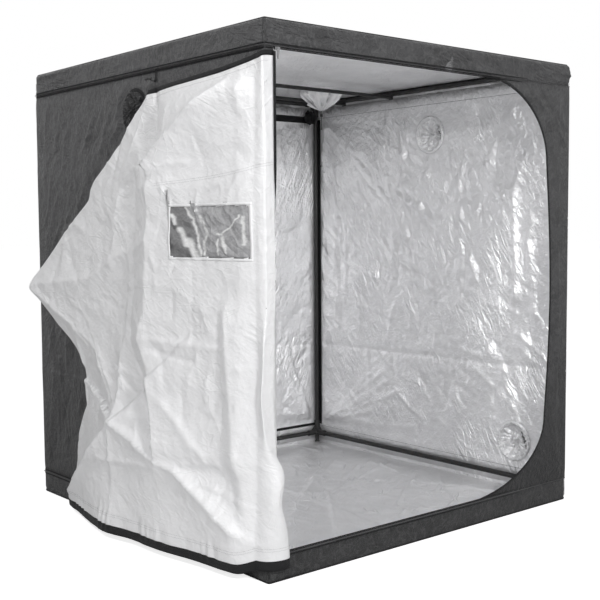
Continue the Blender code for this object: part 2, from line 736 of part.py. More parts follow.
def pull_eye_inset():
    """Return how far inside the cloth's edge the pull's post stands."""
    return ZIP_OVERHANG + ZIP_COIL_WIDTH / 2


def make_pull(name, eye):
    """Hang a pull tab from its post; its origin is on the post's axis."""
    radius = PULL_WIDTH / 2
    grip = radius - PULL_TAPER
    length = PULL_LENGTH - radius - grip
    outline = arc((0.0, 0.0), (radius, radius), 0.0, 180.0, CORNER_STEPS)
    outline += arc((0.0, -length), (grip, grip), 180.0, 360.0, CORNER_STEPS)
    skin = ZIP_COIL_THICKNESS / 2 + FIT + SLIDER_WALL
    near = skin + FIT

    def place_point(point, depth):
        return Vector((point[0], -depth, point[1]))

    shape = prism(outline, near, near + PULL_THICKNESS, place_point)
    pull = add_object(name, shape, [ZINC], eye)
    hole = PULL_POST_DIAMETER / 2 + FIT
    profile = [(0.0, 0.0), (hole, 0.0), (hole, near + PULL_THICKNESS + CUT_OVERRUN),
               (0.0, near + PULL_THICKNESS + CUT_OVERRUN)]
    cut = lathe(profile, SMALL_SIDES, (0.0, -1.0, 0.0), eye)
    combine(pull, [add_object("eye_cut", cut, [])], "DIFFERENCE")
    smooth(pull)


def make_zip():
    """Make the zip track, both sliders and both pulls."""
    make_zip_track()
    for level, edge_height, inward in (("upper", WALL_HEAD, -1), ("lower", WALL_FOOT, 1)):
        eye = make_slider(f"zip_slider_{level}", edge_height, inward)
        make_pull(f"zip_pull_{level}", eye)


def share_at(table, value):
    """Read a table of (place, share) pairs, straight between its rows."""
    if value <= table[0][0]:
        return table[0][1]
    for (low, first), (high, second) in zip(table, table[1:]):
        if value <= high:
            return first + (second - first) * (value - low) / (high - low)
    return table[-1][1]


def flap_row_length(rise):
    """Return the cloth's length from the hinge, at a height above the flap's foot."""
    foot_rise = DOORWAY_FOOT_RISE
    top_rise = DOORWAY_TOP_RISE
    if rise < foot_rise:
        share = 1.0 - rise / foot_rise
        return FLAP_LENGTH - DOORWAY_FOOT_RUN * (1.0 - math.sqrt(1.0 - share * share))
    if rise > FLAP_HEIGHT - top_rise:
        share = 1.0 - (FLAP_HEIGHT - rise) / top_rise
        return FLAP_LENGTH - DOORWAY_TOP_RUN * (1.0 - math.sqrt(1.0 - share * share))
    return FLAP_LENGTH


def fold_height(run, rise, line_shares, width):
    """Return how near a point of the flap is to a fold line: 1 on it, 0 away from it."""
    (run_a, rise_a), (run_b, rise_b) = line_shares
    start = Vector((run_a * FLAP_LENGTH, rise_a * FLAP_HEIGHT))
    end = Vector((run_b * FLAP_LENGTH, rise_b * FLAP_HEIGHT))
    line = end - start
    share = (Vector((run, rise)) - start).dot(line) / line.length_squared
    nearest = start + line * share
    distance = (Vector((run, rise)) - nearest).length
    fade = ramp(share, -FOLD_END_SHARE, FOLD_END_SHARE)
    fade *= 1.0 - ramp(share, 1.0 - FOLD_END_SHARE, 1.0 + FOLD_END_SHARE)
    return fade * math.exp(-(distance / width) ** 2)


def flap_standoff(run, rise):
    """Return how far the open flap stands off the left wall."""
    along = min(run / FLAP_LENGTH, 1.0)
    bulge = min(along / BOTTOM_BULGE_SPAN_SHARE, 1.0)
    bottom = FLAP_BOTTOM_STANDOFF * math.sin(math.pi * bulge ** BOTTOM_BULGE_SKEW)
    bottom += FLAP_EDGE_STANDOFF * along
    middle = FLAP_TIP_STANDOFF * along + FLAP_MIDDLE_STANDOFF * math.sin(math.pi * along)
    top = FLAP_TOP_STANDOFF * min(run / FLAP_TIE_RUN, 1.0)
    height = rise / FLAP_HEIGHT
    low_share = 1.0 - ramp(height, 0.0, FLAP_MIDDLE_SHARE)
    high_share = ramp(height, FLAP_MIDDLE_SHARE, 1.0)
    stand = bottom * low_share + top * high_share + middle * (1.0 - low_share - high_share)
    folds = FLAP_ROLL_STANDOFF
    folds += BRACE_FOLD_HEIGHT * fold_height(run, rise, BRACE_FOLD_SHARES, BRACE_FOLD_WIDTH)
    folds -= VALLEY_FOLD_DEPTH * fold_height(run, rise, VALLEY_FOLD_SHARES, VALLEY_FOLD_WIDTH)
    folds += RIDGE_FOLD_HEIGHT * fold_height(run, rise, RIDGE_FOLD_SHARES, RIDGE_FOLD_WIDTH)
    stand += folds * ramp(run, 0.0, FLAP_ROLL_ONSET)
    wave = math.sin(math.tau * run / HEM_FOLD_PITCH)
    stand += HEM_FOLD_DEPTH * wave * low_share * low_share * math.sin(math.pi * along)
    return stand


def flap_height_at(run, rise):
    """Return the height of a point of the flap, with the sag between its ties."""
    share = rise / FLAP_HEIGHT
    top_sag = FLAP_SAG * min(run / FLAP_TIE_RUN, 1.0)
    foot_sag = FLAP_SAG * (1.0 - math.exp(-run / FLAP_SAG_ONSET))
    return FLAP_FOOT + rise - top_sag * share - foot_sag * (1.0 - share)


def flap_row(rise):
    """March along one row of the flap and return its reach: [(run, y)] up to the fold."""
    length = flap_row_length(rise)
    steps = math.ceil(length / FLAP_MARCH_STEP)
    step = length / steps
    y = HINGE_Y
    marks = [(0.0, y)]
    for index in range(steps):
        run = index * step
        slope = flap_standoff(run + step, rise) - flap_standoff(run, rise)
        advance = math.sqrt(max(step * step - slope * slope, 0.0))
        height = flap_height_at(run + step, rise) / TENT_HEIGHT
        edge = -HALF_DEPTH + TENT_DEPTH * share_at(FLAP_EDGE_SHARES, height)
        if y + advance > edge and edge > y:
            marks.append((run + step * (edge - y) / advance, edge))
            break
        y += advance
        marks.append((run + step, y))
    return marks


def flap_point(marks, run, rise):
    """Return a point of the flap's main or turned-back cloth."""
    fold_run = marks[-1][0]
    main_run = run if run <= fold_run else max(2.0 * fold_run - run, FLAP_ROLL_ONSET)
    y = share_at(marks, main_run)
    stand = flap_standoff(main_run, rise)
    if run > fold_run:
        stand -= FLAP_RETURN_GAP * ramp(run - fold_run, 0.0, FLAP_RETURN_GAP)
    height = flap_height_at(main_run, rise)
    return Vector((HINGE_X - stand, y, height))


def flap_rises():
    """Return the heights of the flap's rows, close together round its corners."""
    rises = []
    for step in range(FLAP_CORNER_ROWS):
        angle = math.pi / 2 * step / FLAP_CORNER_ROWS
        rises.append(DOORWAY_FOOT_RISE * (1.0 - math.cos(angle)))
    low = DOORWAY_FOOT_RISE
    high = FLAP_HEIGHT - DOORWAY_TOP_RISE
    rises += [low + (high - low) * step / FLAP_MIDDLE_ROWS
              for step in range(FLAP_MIDDLE_ROWS + 1)]
    for step in range(1, FLAP_CORNER_ROWS + 1):
        angle = math.pi / 2 * step / FLAP_CORNER_ROWS
        rises.append(FLAP_HEIGHT - DOORWAY_TOP_RISE * (1.0 - math.sin(angle)))
    window = [WINDOW_LOW - FLAP_FOOT, WINDOW_LOW - FLAP_FOOT + WINDOW_HEIGHT]
    spacing = (high - low) / FLAP_MIDDLE_ROWS
    kept = [rise for rise in rises
            if rise < window[0] - spacing / 2 or rise > window[1] + spacing / 2]
    return sorted(kept + window)


def flap_runs(fold_run):
    """Return the runs of the flap's main columns, with columns at the window's ends."""
    runs = [WINDOW_NEAR * step / HINGE_COLUMNS for step in range(HINGE_COLUMNS)]
    runs += [WINDOW_NEAR + WINDOW_WIDTH * step / WINDOW_COLUMNS
             for step in range(WINDOW_COLUMNS + 1)]
    window_end = runs[-1]
    rest = FLAP_MAIN_COLUMNS - len(runs)
    runs += [window_end + (fold_run - window_end) * step / rest for step in range(1, rest + 1)]
    return runs


def make_flap():
    """Loft the open door: its folds, its turned-back edge and its window hole."""
    shape = bmesh.new()
    rises = flap_rises()
    rows = []
    for rise in rises:
        marks = flap_row(rise)
        fold_run = marks[-1][0]
        runs = flap_runs(fold_run)
        spare = max(flap_row_length(rise) - fold_run, FLAP_FOLD_NOSE)
        runs += [fold_run + spare * step / FLAP_RETURN_COLUMNS
                 for step in range(1, FLAP_RETURN_COLUMNS + 1)]
        rows.append([shape.verts.new(flap_point(marks, run, rise)) for run in runs])
    window_low = rises.index(WINDOW_LOW - FLAP_FOOT)
    hole_columns = range(HINGE_COLUMNS, HINGE_COLUMNS + WINDOW_COLUMNS)
    for index in range(len(rows) - 1):
        for column in range(len(rows[0]) - 1):
            if index == window_low and column in hole_columns:
                continue
            shape.faces.new((rows[index][column], rows[index][column + 1],
                             rows[index + 1][column + 1], rows[index + 1][column]))
    flap = add_object("door_flap", shape, [BLACK_CLOTH, LINING], turn_faces=False)
    wall = flap.modifiers.new("cloth", "SOLIDIFY")
    wall.thickness = CLOTH
    wall.offset = 0.0
    wall.material_offset = 1
    smooth(flap)
    set_origin(flap, DOOR_HINGE)
    return flap


def make_window_pane():
    """Set the clear pane into the flap's window hole, a seam's gap inside it."""
    low = WINDOW_LOW - FLAP_FOOT
    high = low + WINDOW_HEIGHT
    columns = WINDOW_COLUMNS
    corners = []
    for rise in (low, high):
        marks = flap_row(rise)
        runs = [WINDOW_NEAR + WINDOW_WIDTH * step / columns for step in range(columns + 1)]
        corners.append([flap_point(marks, run, rise) for run in runs])
    shape = bmesh.new()
    edges = []
    for share_at_gap in (PANE_SEAM / WINDOW_HEIGHT, 1.0 - PANE_SEAM / WINDOW_HEIGHT):
        row = [foot.lerp(head, share_at_gap) for foot, head in zip(*corners)]
        side_share = PANE_SEAM * columns / WINDOW_WIDTH
        row[0] = row[0].lerp(row[1], side_share)
        row[-1] = row[-1].lerp(row[-2], side_share)
        edges.append([shape.verts.new(point) for point in row])
    for column in range(columns):
        shape.faces.new((edges[0][column], edges[0][column + 1],
                         edges[1][column + 1], edges[1][column]))
    pane = add_object("door_window_pane", shape, [CLEAR])
    wall = pane.modifiers.new("film", "SOLIDIFY")
    wall.thickness = PANE_THICKNESS
    wall.offset = 0.0
    set_origin(pane, DOOR_HINGE)


def sweep(path, section):
    """Sweep a round or flat section along a path.

    The section is a list of (sideways, upward) points.
    """
    shape = bmesh.new()
    rings = []
    up = Vector((0.0, 0.0, 1.0))
    for index, point in enumerate(path):
        before = path[max(index - 1, 0)]
        after = path[min(index + 1, len(path) - 1)]
        ahead = (after - before).normalized()
        side = ahead.cross(up).normalized()
        over = side.cross(ahead).normalized()
        rings.append([shape.verts.new(point + side * across + over * high)
                      for across, high in section])
    for ring, following in zip(rings, rings[1:]):
        for index in range(len(section)):
            after = (index + 1) % len(section)
            shape.faces.new((ring[index], ring[after], following[after], following[index]))
    for ring in (rings[0], rings[-1]):
        shape.faces.new(ring)
    return shape


def circle(radius, sides):
    """Return the points of a circle."""
    return [(radius * math.cos(math.tau * side / sides), radius * math.sin(math.tau * side / sides))
            for side in range(sides)]


def roll_point(run):
    """Return a point on the axis of the rolled-up window cover."""
    rise = WINDOW_LOW - FLAP_FOOT + WINDOW_HEIGHT + ROLL_RISE
    clearance = CLOTH / 2 + ROLL_SETTLE + ROLL_DIAMETER / 2
    marks = flap_row(rise)
    before = flap_point(marks, run - ROLL_TIE_WIDTH, rise)
    after = flap_point(marks, run + ROLL_TIE_WIDTH, rise)
    ahead = (after - before).normalized()
    inward = Vector((ahead.y, -ahead.x, 0.0)).normalized()
    return flap_point(marks, run, rise) + inward * clearance


def cloth_hit(flap, start, direction):
    """Return where a line first meets the door's cloth."""
    graph = bpy.context.evaluated_depsgraph_get()
    hit = flap.evaluated_get(graph).ray_cast(start - flap.location, direction)
    return hit[1] + flap.location


def roll_tab(flap, centre, ahead):
    """Return the tab that joins a band of the window cover to the door's cloth."""
    up = Vector((0.0, 0.0, 1.0))
    outward = up.cross(ahead).normalized()
    root = outward * (ROLL_DIAMETER / 2 + SEAM_GAP + ROLL_TIE_THICKNESS / 2)
    shape = bmesh.new()
    near = []
    far = []
    for along, high in ((-1, -1), (1, -1), (1, 1), (-1, 1)):
        corner = centre + ahead * (along * ROLL_TIE_WIDTH / 2) + up * (high * ROLL_TAB_HEIGHT / 2)
        near.append(shape.verts.new(corner + root))
        end = cloth_hit(flap, corner, outward) - outward * SEAM_GAP
        far.append(shape.verts.new(end))
    shape.faces.new(near)
    shape.faces.new(far)
    for index in range(len(near)):
        after = (index + 1) % len(near)
        shape.faces.new((near[index], near[after], far[after], far[index]))
    return shape


def make_window_cover(flap):
    """Hang the rolled-up window cover on the door's outer side, in two sewn bands."""
    start = WINDOW_NEAR + ROLL_END_INSET
    length = WINDOW_WIDTH - 2 * ROLL_END_INSET
    path = [roll_point(start + length * step / ROLL_STEPS) for step in range(ROLL_STEPS + 1)]
    shape = sweep(path, circle(ROLL_DIAMETER / 2, SMALL_SIDES))
    roll = add_object("window_cover_roll", shape, [BLACK_CLOTH])
    smooth(roll)
    set_origin(roll, DOOR_HINGE)
    inner = (ROLL_DIAMETER / 2 + SEAM_GAP) / math.cos(math.pi / SMALL_SIDES)
    outer = inner + ROLL_TIE_THICKNESS
    half = ROLL_TIE_WIDTH / 2
    profile = [(outer, -half), (outer, half), (inner, half), (inner, -half)]
    for side, first in (("near", 1), ("far", ROLL_STEPS - 2)):
        centre = (path[first] + path[first + 1]) / 2
        ahead = (path[first + 1] - path[first]).normalized()
        shape = lathe(profile, SMALL_SIDES, ahead, centre)
        band = add_object(f"window_cover_tie_{side}", shape, [WEBBING])
        combine(band, [add_object("tab", roll_tab(flap, centre, ahead), [])], "UNION")
        smooth(band)
        set_origin(band, DOOR_HINGE)


def gathered_sleeve(shares, radius, reach, sides, pleats):
    """Loft a sleeve that is gathered shut: outer cloth, inner cloth and frill."""
    shape = bmesh.new()

    def ring(height, size, depth, shrink):
        made = []
        for side in range(sides):
            angle = math.tau * side / sides
            wave = 1.0 + depth * math.cos(pleats * angle)
            across = max(size * wave - shrink, CORD_DIAMETER)
            made.append(shape.verts.new((across * math.cos(angle), across * math.sin(angle),
                                         height)))
        return made

    outer = [ring(reach * high, radius * size, depth, 0.0) for high, size, depth in shares]
    inner = [ring(reach * high - (SLEEVE_CLOTH if high > 0.0 else 0.0), radius * size,
                  depth, SLEEVE_CLOTH) for high, size, depth in shares[:-1]]
    loops = list(reversed(inner)) + outer
    for first, second in zip(loops, loops[1:]):
        for side in range(sides):
            after = (side + 1) % sides
            shape.faces.new((first[side], first[after], second[after], second[side]))
    throat = shape.verts.new((0.0, 0.0, reach * shares[-2][0] - SLEEVE_CLOTH - SLEEVE_CLOTH))
    crown = shape.verts.new((0.0, 0.0, reach))
    for side in range(sides):
        after = (side + 1) % sides
        shape.faces.new((inner[-1][side], inner[-1][after], throat))
        shape.faces.new((outer[-1][side], outer[-1][after], crown))
    return shape


def place_along(thing, axis):
    """Turn an object's mesh so that its +Z axis lies along another direction."""
    thing.data.transform(axis_turn(axis))


def make_port(name, centre, axis, radius, sleeve_axis, shares, reach):
    """Fit a port: the ring sewn on the outer face and the sleeve in its hole."""
    near = SEAM_GAP
    far = near + PORT_RING_THICKNESS
    profile = [(radius + PORT_RING_WIDTH, near), (radius + PORT_RING_WIDTH, far),
               (radius, far), (radius, near)]
    smooth(add_object(f"{name}_ring", lathe(profile, RING_SIDES, axis, centre), [WEBBING]))
    outward = Vector(sleeve_axis).dot(Vector(axis)) > 0.0
    base = Vector(centre) - Vector(axis) * (CLOTH if outward else 0.0)
    shape = gathered_sleeve(shares, radius - SLEEVE_SEAM, reach, RING_SIDES, PLEATS)
    sleeve = add_object(f"{name}_sleeve", shape, [BLACK_CLOTH, LINING], base)
    place_along(sleeve, sleeve_axis)
    smooth(sleeve)


def make_ports():
    """Fit the three wall ports and the roof port."""
    radius = PORT_DIAMETER / 2
    left = (-1.0, 0.0, 0.0)
    right = (1.0, 0.0, 0.0)
    wall = (SLEEVE_OUTER_SHARES, WALL_SLEEVE_REACH)
    upper = (UPPER_PORT_Y, UPPER_PORT_HEIGHT)
    make_port("port_left_upper", (-HALF_WIDTH, *upper), left, radius, left, *wall)
    make_port("port_right_upper", (HALF_WIDTH, *upper), right, radius, right, *wall)
    lower = (LOWER_PORT_Y, LOWER_PORT_HEIGHT)
    make_port("port_right_lower", (HALF_WIDTH, *lower), right, radius, right, *wall)
    up = (0.0, 0.0, 1.0)
    down = (0.0, 0.0, -1.0)
    make_port("port_roof", (ROOF_PORT_X, ROOF_PORT_Y, TENT_HEIGHT), up,
              ROOF_PORT_DIAMETER / 2, down, ROOF_SLEEVE_SHARES, ROOF_SLEEVE_REACH)


def make_roof_drawcord():
    """Hang the drawcord's tail under the roof sleeve, with its knot and lock."""
    start = TENT_HEIGHT - ROOF_SLEEVE_REACH - SEAM_GAP
    curve = bpy.data.curves.new("roof_sleeve_cord", "CURVE")
    curve.dimensions = "3D"
    curve.bevel_depth = CORD_DIAMETER / 2
    curve.bevel_resolution = CORD_SIDE_RESOLUTION
    curve.use_fill_caps = True
    spline = curve.splines.new("POLY")
    spline.points.add(CORD_POINTS - 1)
    for index, point in enumerate(spline.points):
        drop = CORD_LENGTH * index / (CORD_POINTS - 1)
        point.co = (0.0, 0.0, -drop, 1.0)
    curve.materials.append(material(WEBBING))
    cord = bpy.data.objects.new("roof_sleeve_cord", curve)
    cord.location = (ROOF_PORT_X, ROOF_PORT_Y, start)
    bpy.context.scene.collection.objects.link(cord)
    bore = CORD_DIAMETER / 2 + CORD_RUNNING_FIT
    radius = CORD_LOCK_DIAMETER / 2
    waist = radius - CORD_LOCK_WAIST_DEPTH
    half = CORD_LOCK_HEIGHT / 2
    band = CORD_LOCK_HEIGHT * CORD_LOCK_BAND_SHARE / 2
    profile = [(bore, -half), (waist, -half), (radius, -band), (radius, band),
               (waist, half), (bore, half)]
    place = (ROOF_PORT_X, ROOF_PORT_Y, start - CORD_LOCK_DROP)
    smooth(add_object("roof_sleeve_cord_lock", lathe(profile, SMALL_SIDES), [PLASTIC], place))
    knot_top = start - CORD_LENGTH - SEAM_GAP
    knot = TIE_KNOT_DIAMETER / 2
    flat = knot * KNOT_FLAT_SHARE
    profile = [(0.0, 0.0), (flat, 0.0), (knot, -TIE_KNOT_HEIGHT), (flat, -2 * TIE_KNOT_HEIGHT),
               (0.0, -2 * TIE_KNOT_HEIGHT)]
    shape = lathe(profile, SMALL_SIDES)
    smooth(add_object("roof_sleeve_cord_knot", shape, [WEBBING],
                      (ROOF_PORT_X, ROOF_PORT_Y, knot_top)))


def toggle_profile():
    """Return the side of a toggle: two swollen ends and a slim waist."""
    half = TOGGLE_LENGTH / 2
    end = TOGGLE_DIAMETER / 2
    waist = TOGGLE_WAIST_DIAMETER / 2
    tip = end * TOGGLE_TIP_SHARE
    shoulder = half - (end - tip)
    return [(0.0, -half), (tip, -half), (end, -shoulder), (waist, 0.0),
            (end, shoulder), (tip, half), (0.0, half)]


def make_tie(name, root, tip, lay):
    """Make one tie: a strap sewn to a seam, its cord with a knot, and its toggle.

    The toggle turns on the cord at the strap's end. Lay is the toggle's own axis.
    """
    root = Vector(root)
    tip = Vector(tip)
    ahead = (tip - root).normalized()
    flat = [(-TIE_THICKNESS / 2, -TIE_WIDTH / 2), (TIE_THICKNESS / 2, -TIE_WIDTH / 2),
            (TIE_THICKNESS / 2, TIE_WIDTH / 2), (-TIE_THICKNESS / 2, TIE_WIDTH / 2)]
    upright = abs(ahead.z) > abs(ahead.y)
    if upright:
        flat = [(across, thick) for thick, across in flat]
    strap = add_object(f"{name}_strap", sweep([root, tip], flat), [WEBBING])
    toggle_radius = TOGGLE_WAIST_DIAMETER / 2
    reach = SEAM_GAP + 2 * toggle_radius + SEAM_GAP
    cord_radius = TIE_CORD_DIAMETER / 2
    profile = [
        (0.0, -TIE_KNOT_HEIGHT), (cord_radius, -TIE_KNOT_HEIGHT), (cord_radius, reach),
        (TIE_KNOT_DIAMETER / 2, reach), (TIE_KNOT_DIAMETER / 2, reach + TIE_KNOT_HEIGHT),
        (0.0, reach + TIE_KNOT_HEIGHT),
    ]
    cord = add_object("cord", lathe(profile, SMALL_SIDES, ahead, tip), [])
    combine(strap, [cord], "UNION")
    centre = tip + ahead * (SEAM_GAP + toggle_radius)
    toggle = add_object(f"{name}_toggle", lathe(toggle_profile(), SMALL_SIDES, lay, centre),
                        [PLASTIC])
    hole = cord_radius + FIT
    profile = [(0.0, -TOGGLE_DIAMETER), (hole, -TOGGLE_DIAMETER), (hole, TOGGLE_DIAMETER),
               (0.0, TOGGLE_DIAMETER)]
    cut = add_object("cord_hole", lathe(profile, SMALL_SIDES, ahead, centre), [])
    combine(toggle, [cut], "DIFFERENCE")
    smooth(toggle)
    set_origin(toggle, centre)


def make_ties():
    """Fit the tie above the door's top edge and the tie at the rear left corner."""
    face = -HALF_WIDTH - SEAM_GAP - TIE_THICKNESS / 2
    root = (face, TOP_TIE_Y, ROOF_BAND_FOOT)
    tip = (face - TOP_TIE_STANDOFF, TOP_TIE_Y, ROOF_BAND_FOOT - TOP_TIE_FALL)
    make_tie("door_tie_top", root, tip, (0.0, 1.0, 0.0))
    root = (face, HALF_DEPTH - SIDE_TIE_INSET, SIDE_TIE_HEIGHT)
    tip = (face - SIDE_TIE_REACH_X, HALF_DEPTH - SIDE_TIE_INSET - SIDE_TIE_REACH_Y,
           SIDE_TIE_HEIGHT)
    make_tie("door_tie_side", root, tip, (0.0, 0.0, 1.0))


clear_scene()
make_connectors()
make_uprights()
make_rails()
make_hanging_bar("hanging_bar_front", FRONT_BAR_Y)
make_hanging_bar("hanging_bar_rear", REAR_BAR_Y)
make_roof_cover()
band_shell("base_cover", 0.0, BASE_BAND_HEIGHT, True)
make_walls()
make_front_panels()
make_floor_mat()
make_zip()
door = make_flap()
make_window_pane()
make_window_cover(door)
make_ports()
make_roof_drawcord()
make_ties()
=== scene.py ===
"""Indoor grow tent: its cloth, lining, open door, zip, ports and light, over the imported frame."""

import json
import math

import bmesh
import bpy
import numpy as np
from mathutils import Matrix, Vector

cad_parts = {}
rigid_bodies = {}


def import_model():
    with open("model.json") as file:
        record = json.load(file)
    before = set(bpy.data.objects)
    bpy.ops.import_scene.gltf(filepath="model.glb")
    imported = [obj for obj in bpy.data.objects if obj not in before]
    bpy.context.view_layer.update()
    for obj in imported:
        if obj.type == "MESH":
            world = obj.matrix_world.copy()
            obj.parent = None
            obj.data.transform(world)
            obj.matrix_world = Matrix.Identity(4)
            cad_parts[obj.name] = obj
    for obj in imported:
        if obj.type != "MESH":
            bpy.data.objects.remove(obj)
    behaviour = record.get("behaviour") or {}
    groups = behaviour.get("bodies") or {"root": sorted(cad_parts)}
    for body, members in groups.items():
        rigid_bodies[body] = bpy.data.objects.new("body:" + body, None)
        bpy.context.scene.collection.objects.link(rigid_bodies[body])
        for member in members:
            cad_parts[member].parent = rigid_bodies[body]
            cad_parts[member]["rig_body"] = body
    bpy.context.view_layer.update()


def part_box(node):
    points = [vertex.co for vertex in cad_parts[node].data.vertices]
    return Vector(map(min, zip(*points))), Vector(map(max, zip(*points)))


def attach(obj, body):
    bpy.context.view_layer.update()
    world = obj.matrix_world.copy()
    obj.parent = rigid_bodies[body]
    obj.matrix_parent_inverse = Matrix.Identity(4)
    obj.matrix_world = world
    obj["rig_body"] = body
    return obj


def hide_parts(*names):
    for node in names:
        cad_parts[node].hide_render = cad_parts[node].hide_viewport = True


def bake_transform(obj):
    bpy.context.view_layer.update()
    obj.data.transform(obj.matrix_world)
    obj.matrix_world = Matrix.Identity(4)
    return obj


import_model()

# Half the tent's side, its height, and the cloth's thickness, in metres
HALF = 0.880
TOP = 2.000
CLOTH = 0.0012
PLAN_ROUND = 0.012

# Heights of the two bands' seams, and of the walls between them
BASE_BAND = 0.100
ROOF_BAND = 1.904
WALL_FOOT = 0.1003
WALL_HEAD = 1.9037
WALL_TUCK = 0.0022

# The doorway: its left edge, its right edge with the bow, its round corners
DOORWAY_LEFT = -0.840
DOORWAY_RIGHT = 0.716
DOORWAY_BOW = 0.034
TOP_CORNER = (0.440, 0.350)
FOOT_CORNER = (0.540, 0.310)
TOP_CORNER_MIDDLE = (DOORWAY_RIGHT - TOP_CORNER[0], WALL_HEAD - TOP_CORNER[1])
FOOT_CORNER_MIDDLE = (DOORWAY_RIGHT - FOOT_CORNER[0], WALL_FOOT + FOOT_CORNER[1])
HINGE = -0.8809

# Ports: (y, z) on the side walls, (x, y) on the roof
PORT_RADIUS = 0.083
ROOF_PORT_RADIUS = 0.110
UPPER_PORT = (-0.024, 1.748)
LOWER_PORT = (-0.583, 0.228)
ROOF_PORT = (0.520, 0.420)
SLEEVE_END = 1.8847
ROOF_SLEEVE_ROOM = 0.1175

# Sewing: the bands' length and the end of the roof band's roll, strips and stitches
BAND_LENGTH = 7.0
ROLL_TAIL = 0.010
STRIP_LIFT = 0.0012
STRIP_THICK = 0.0010
STITCH_PITCH = 0.0050
STITCH_SIZE = (0.0034, 0.0009, 0.0008)


# Shapes

def ramp(value, low, high):
    """Rise smoothly from 0 at low to 1 at high."""
    share = np.clip((np.asarray(value, float) - low) / (high - low), 0.0, 1.0)
    return share * share * (3.0 - 2.0 * share)


def waves(across, up, seed, size, octaves=3):
    """Slow random waves over a sheet, about -1 to 1."""
    luck = np.random.default_rng(seed)
    total = np.zeros_like(across)
    weight = 1.0
    for octave in range(octaves):
        for _ in range(5):
            angle = luck.uniform(0.0, math.tau)
            pace = math.tau / (size * luck.uniform(0.7, 1.5)) * 2 ** octave
            start = luck.uniform(0.0, math.tau)
            along = across * math.cos(angle) + up * math.sin(angle)
            aside = up * math.cos(angle) - across * math.sin(angle)
            bend = 1.4 * np.sin(pace * 0.43 * aside + start * 2.0)
            total = total + weight * np.sin(pace * along + start + bend)
        weight *= 0.5
    return total / 5.0


def fold(across, up, line, height, near, far=None, sharp=1.0):
    """A fold along a line of points: a crest that falls away on both sides.

    Near is its width on the right of the line, far its width on the left.
    """
    far = far or near
    total = np.zeros_like(across)
    for (a, b), (c, d) in zip(line, line[1:]):
        run, rise = c - a, d - b
        share = ((across - a) * run + (up - b) * rise) / (run * run + rise * rise)
        share = np.clip(share, 0.0, 1.0)
        gap_a = across - a - share * run
        gap_b = up - b - share * rise
        side = (across - a) * rise - (up - b) * run
        width = np.where(side > 0.0, near, far)
        total = np.maximum(total, np.exp(-(np.hypot(gap_a, gap_b) / width) ** sharp))
    return height * total


def add_folds(out, across, up, folds):
    """Add folds, each given as its line, its height and its widths."""
    for line, height, *widths in folds:
        out = out + fold(across, up, line, height, *widths)
    return out


def side_of(across, up, line):
    """Signed distance from a line of points, positive on its right."""
    best = np.full(np.shape(across), 9.0)
    for (a, b), (c, d) in zip(line, line[1:]):
        run, rise = c - a, d - b
        share = ((across - a) * run + (up - b) * rise) / (run * run + rise * rise)
        share = np.clip(share, 0.0, 1.0)
        gap = np.hypot(across - a - share * run, up - b - share * rise)
        side = np.where((across - a) * rise - (up - b) * run > 0.0, gap, -gap)
        best = np.where(np.abs(best) < gap, best, side)
    return best


def facet(across, up, low_line, high_line, height, fade, low, high):
    """A flat facet that rises from one line to another, then falls away beyond it.

    Both lines run upwards; low and high are the heights between which it stands.
    """
    below = -side_of(across, up, low_line)
    above = -side_of(across, up, high_line)
    inside = np.clip(below / np.maximum(below - above, 1e-6), 0.0, 1.0)
    rise = np.where(above > 0.0, np.exp(-np.maximum(above, 0.0) / fade), inside)
    rise = np.where(below < 0.0, 0.0, rise)
    ends = ramp(up, low, low + 0.08) * (1.0 - ramp(up, high - 0.08, high + 0.04))
    return height * rise * ends


def scattered_folds(across, up, seed, count, box, length, height, width, lean=None):
    """Many small creases at random places in a box, some up and some down."""
    luck = np.random.default_rng(seed)
    across, up = np.broadcast_arrays(np.asarray(across, float), np.asarray(up, float))
    total = np.zeros(across.shape)
    for _ in range(count):
        a = luck.uniform(box[0], box[1])
        b = luck.uniform(box[2], box[3])
        angle = luck.uniform(0.0, math.pi) if lean is None else lean + luck.normal(0.0, 0.35)
        reach = luck.uniform(0.4, 1.0) * length
        end = (a + reach * math.cos(angle), b + reach * math.sin(angle))
        middle = ((a + end[0]) / 2 + luck.normal(0.0, reach * 0.06),
                  (b + end[1]) / 2 + luck.normal(0.0, reach * 0.06))
        size = height * luck.uniform(0.35, 1.0) * (1.0 if luck.uniform() < 0.6 else -1.0)
        thin = width * luck.uniform(0.6, 1.3)
        span = reach / 2 + 8.0 * thin
        close = ((np.abs(across - (a + end[0]) / 2) < span)
                 & (np.abs(up - (b + end[1]) / 2) < span))
        if close.any():
            total[close] += fold(across[close], up[close], [(a, b), middle, end], size, thin,
                                 thin * 1.6)
    return total


def sheet_mesh(name, points, cloth_map, finishes, skip=None, loop=False, turned=False):
    """Make a sheet from rows of points, with its cloth map in metres."""
    rows, columns = points.shape[:2]
    quads = []
    wide = columns if loop else columns - 1
    for row in range(rows - 1):
        for column in range(wide):
            if skip is not None and skip[row, column]:
                continue
            after = (column + 1) % columns
            quad = (row * columns + column, row * columns + after,
                    (row + 1) * columns + after, (row + 1) * columns + column)
            quads.append(quad[::-1] if turned else quad)
    used = np.unique(np.array(quads))
    index = np.full(rows * columns, -1)
    index[used] = np.arange(len(used))
    mesh = bpy.data.meshes.new(name)
    mesh.from_pydata(points.reshape(-1, 3)[used].tolist(), [], index[np.array(quads)].tolist())
    layer = mesh.uv_layers.new(name="cloth")
    corners = np.empty(len(mesh.loops), int)
    mesh.loops.foreach_get("vertex_index", corners)
    flat = cloth_map.reshape(-1, 2)[used][corners]
    layer.data.foreach_set("uv", flat.astype(np.float32).ravel())
    made = bpy.data.objects.new(name, mesh)
    bpy.context.scene.collection.objects.link(made)
    for finish in finishes:
        mesh.materials.append(finish)
    mesh.shade_smooth()
    return made


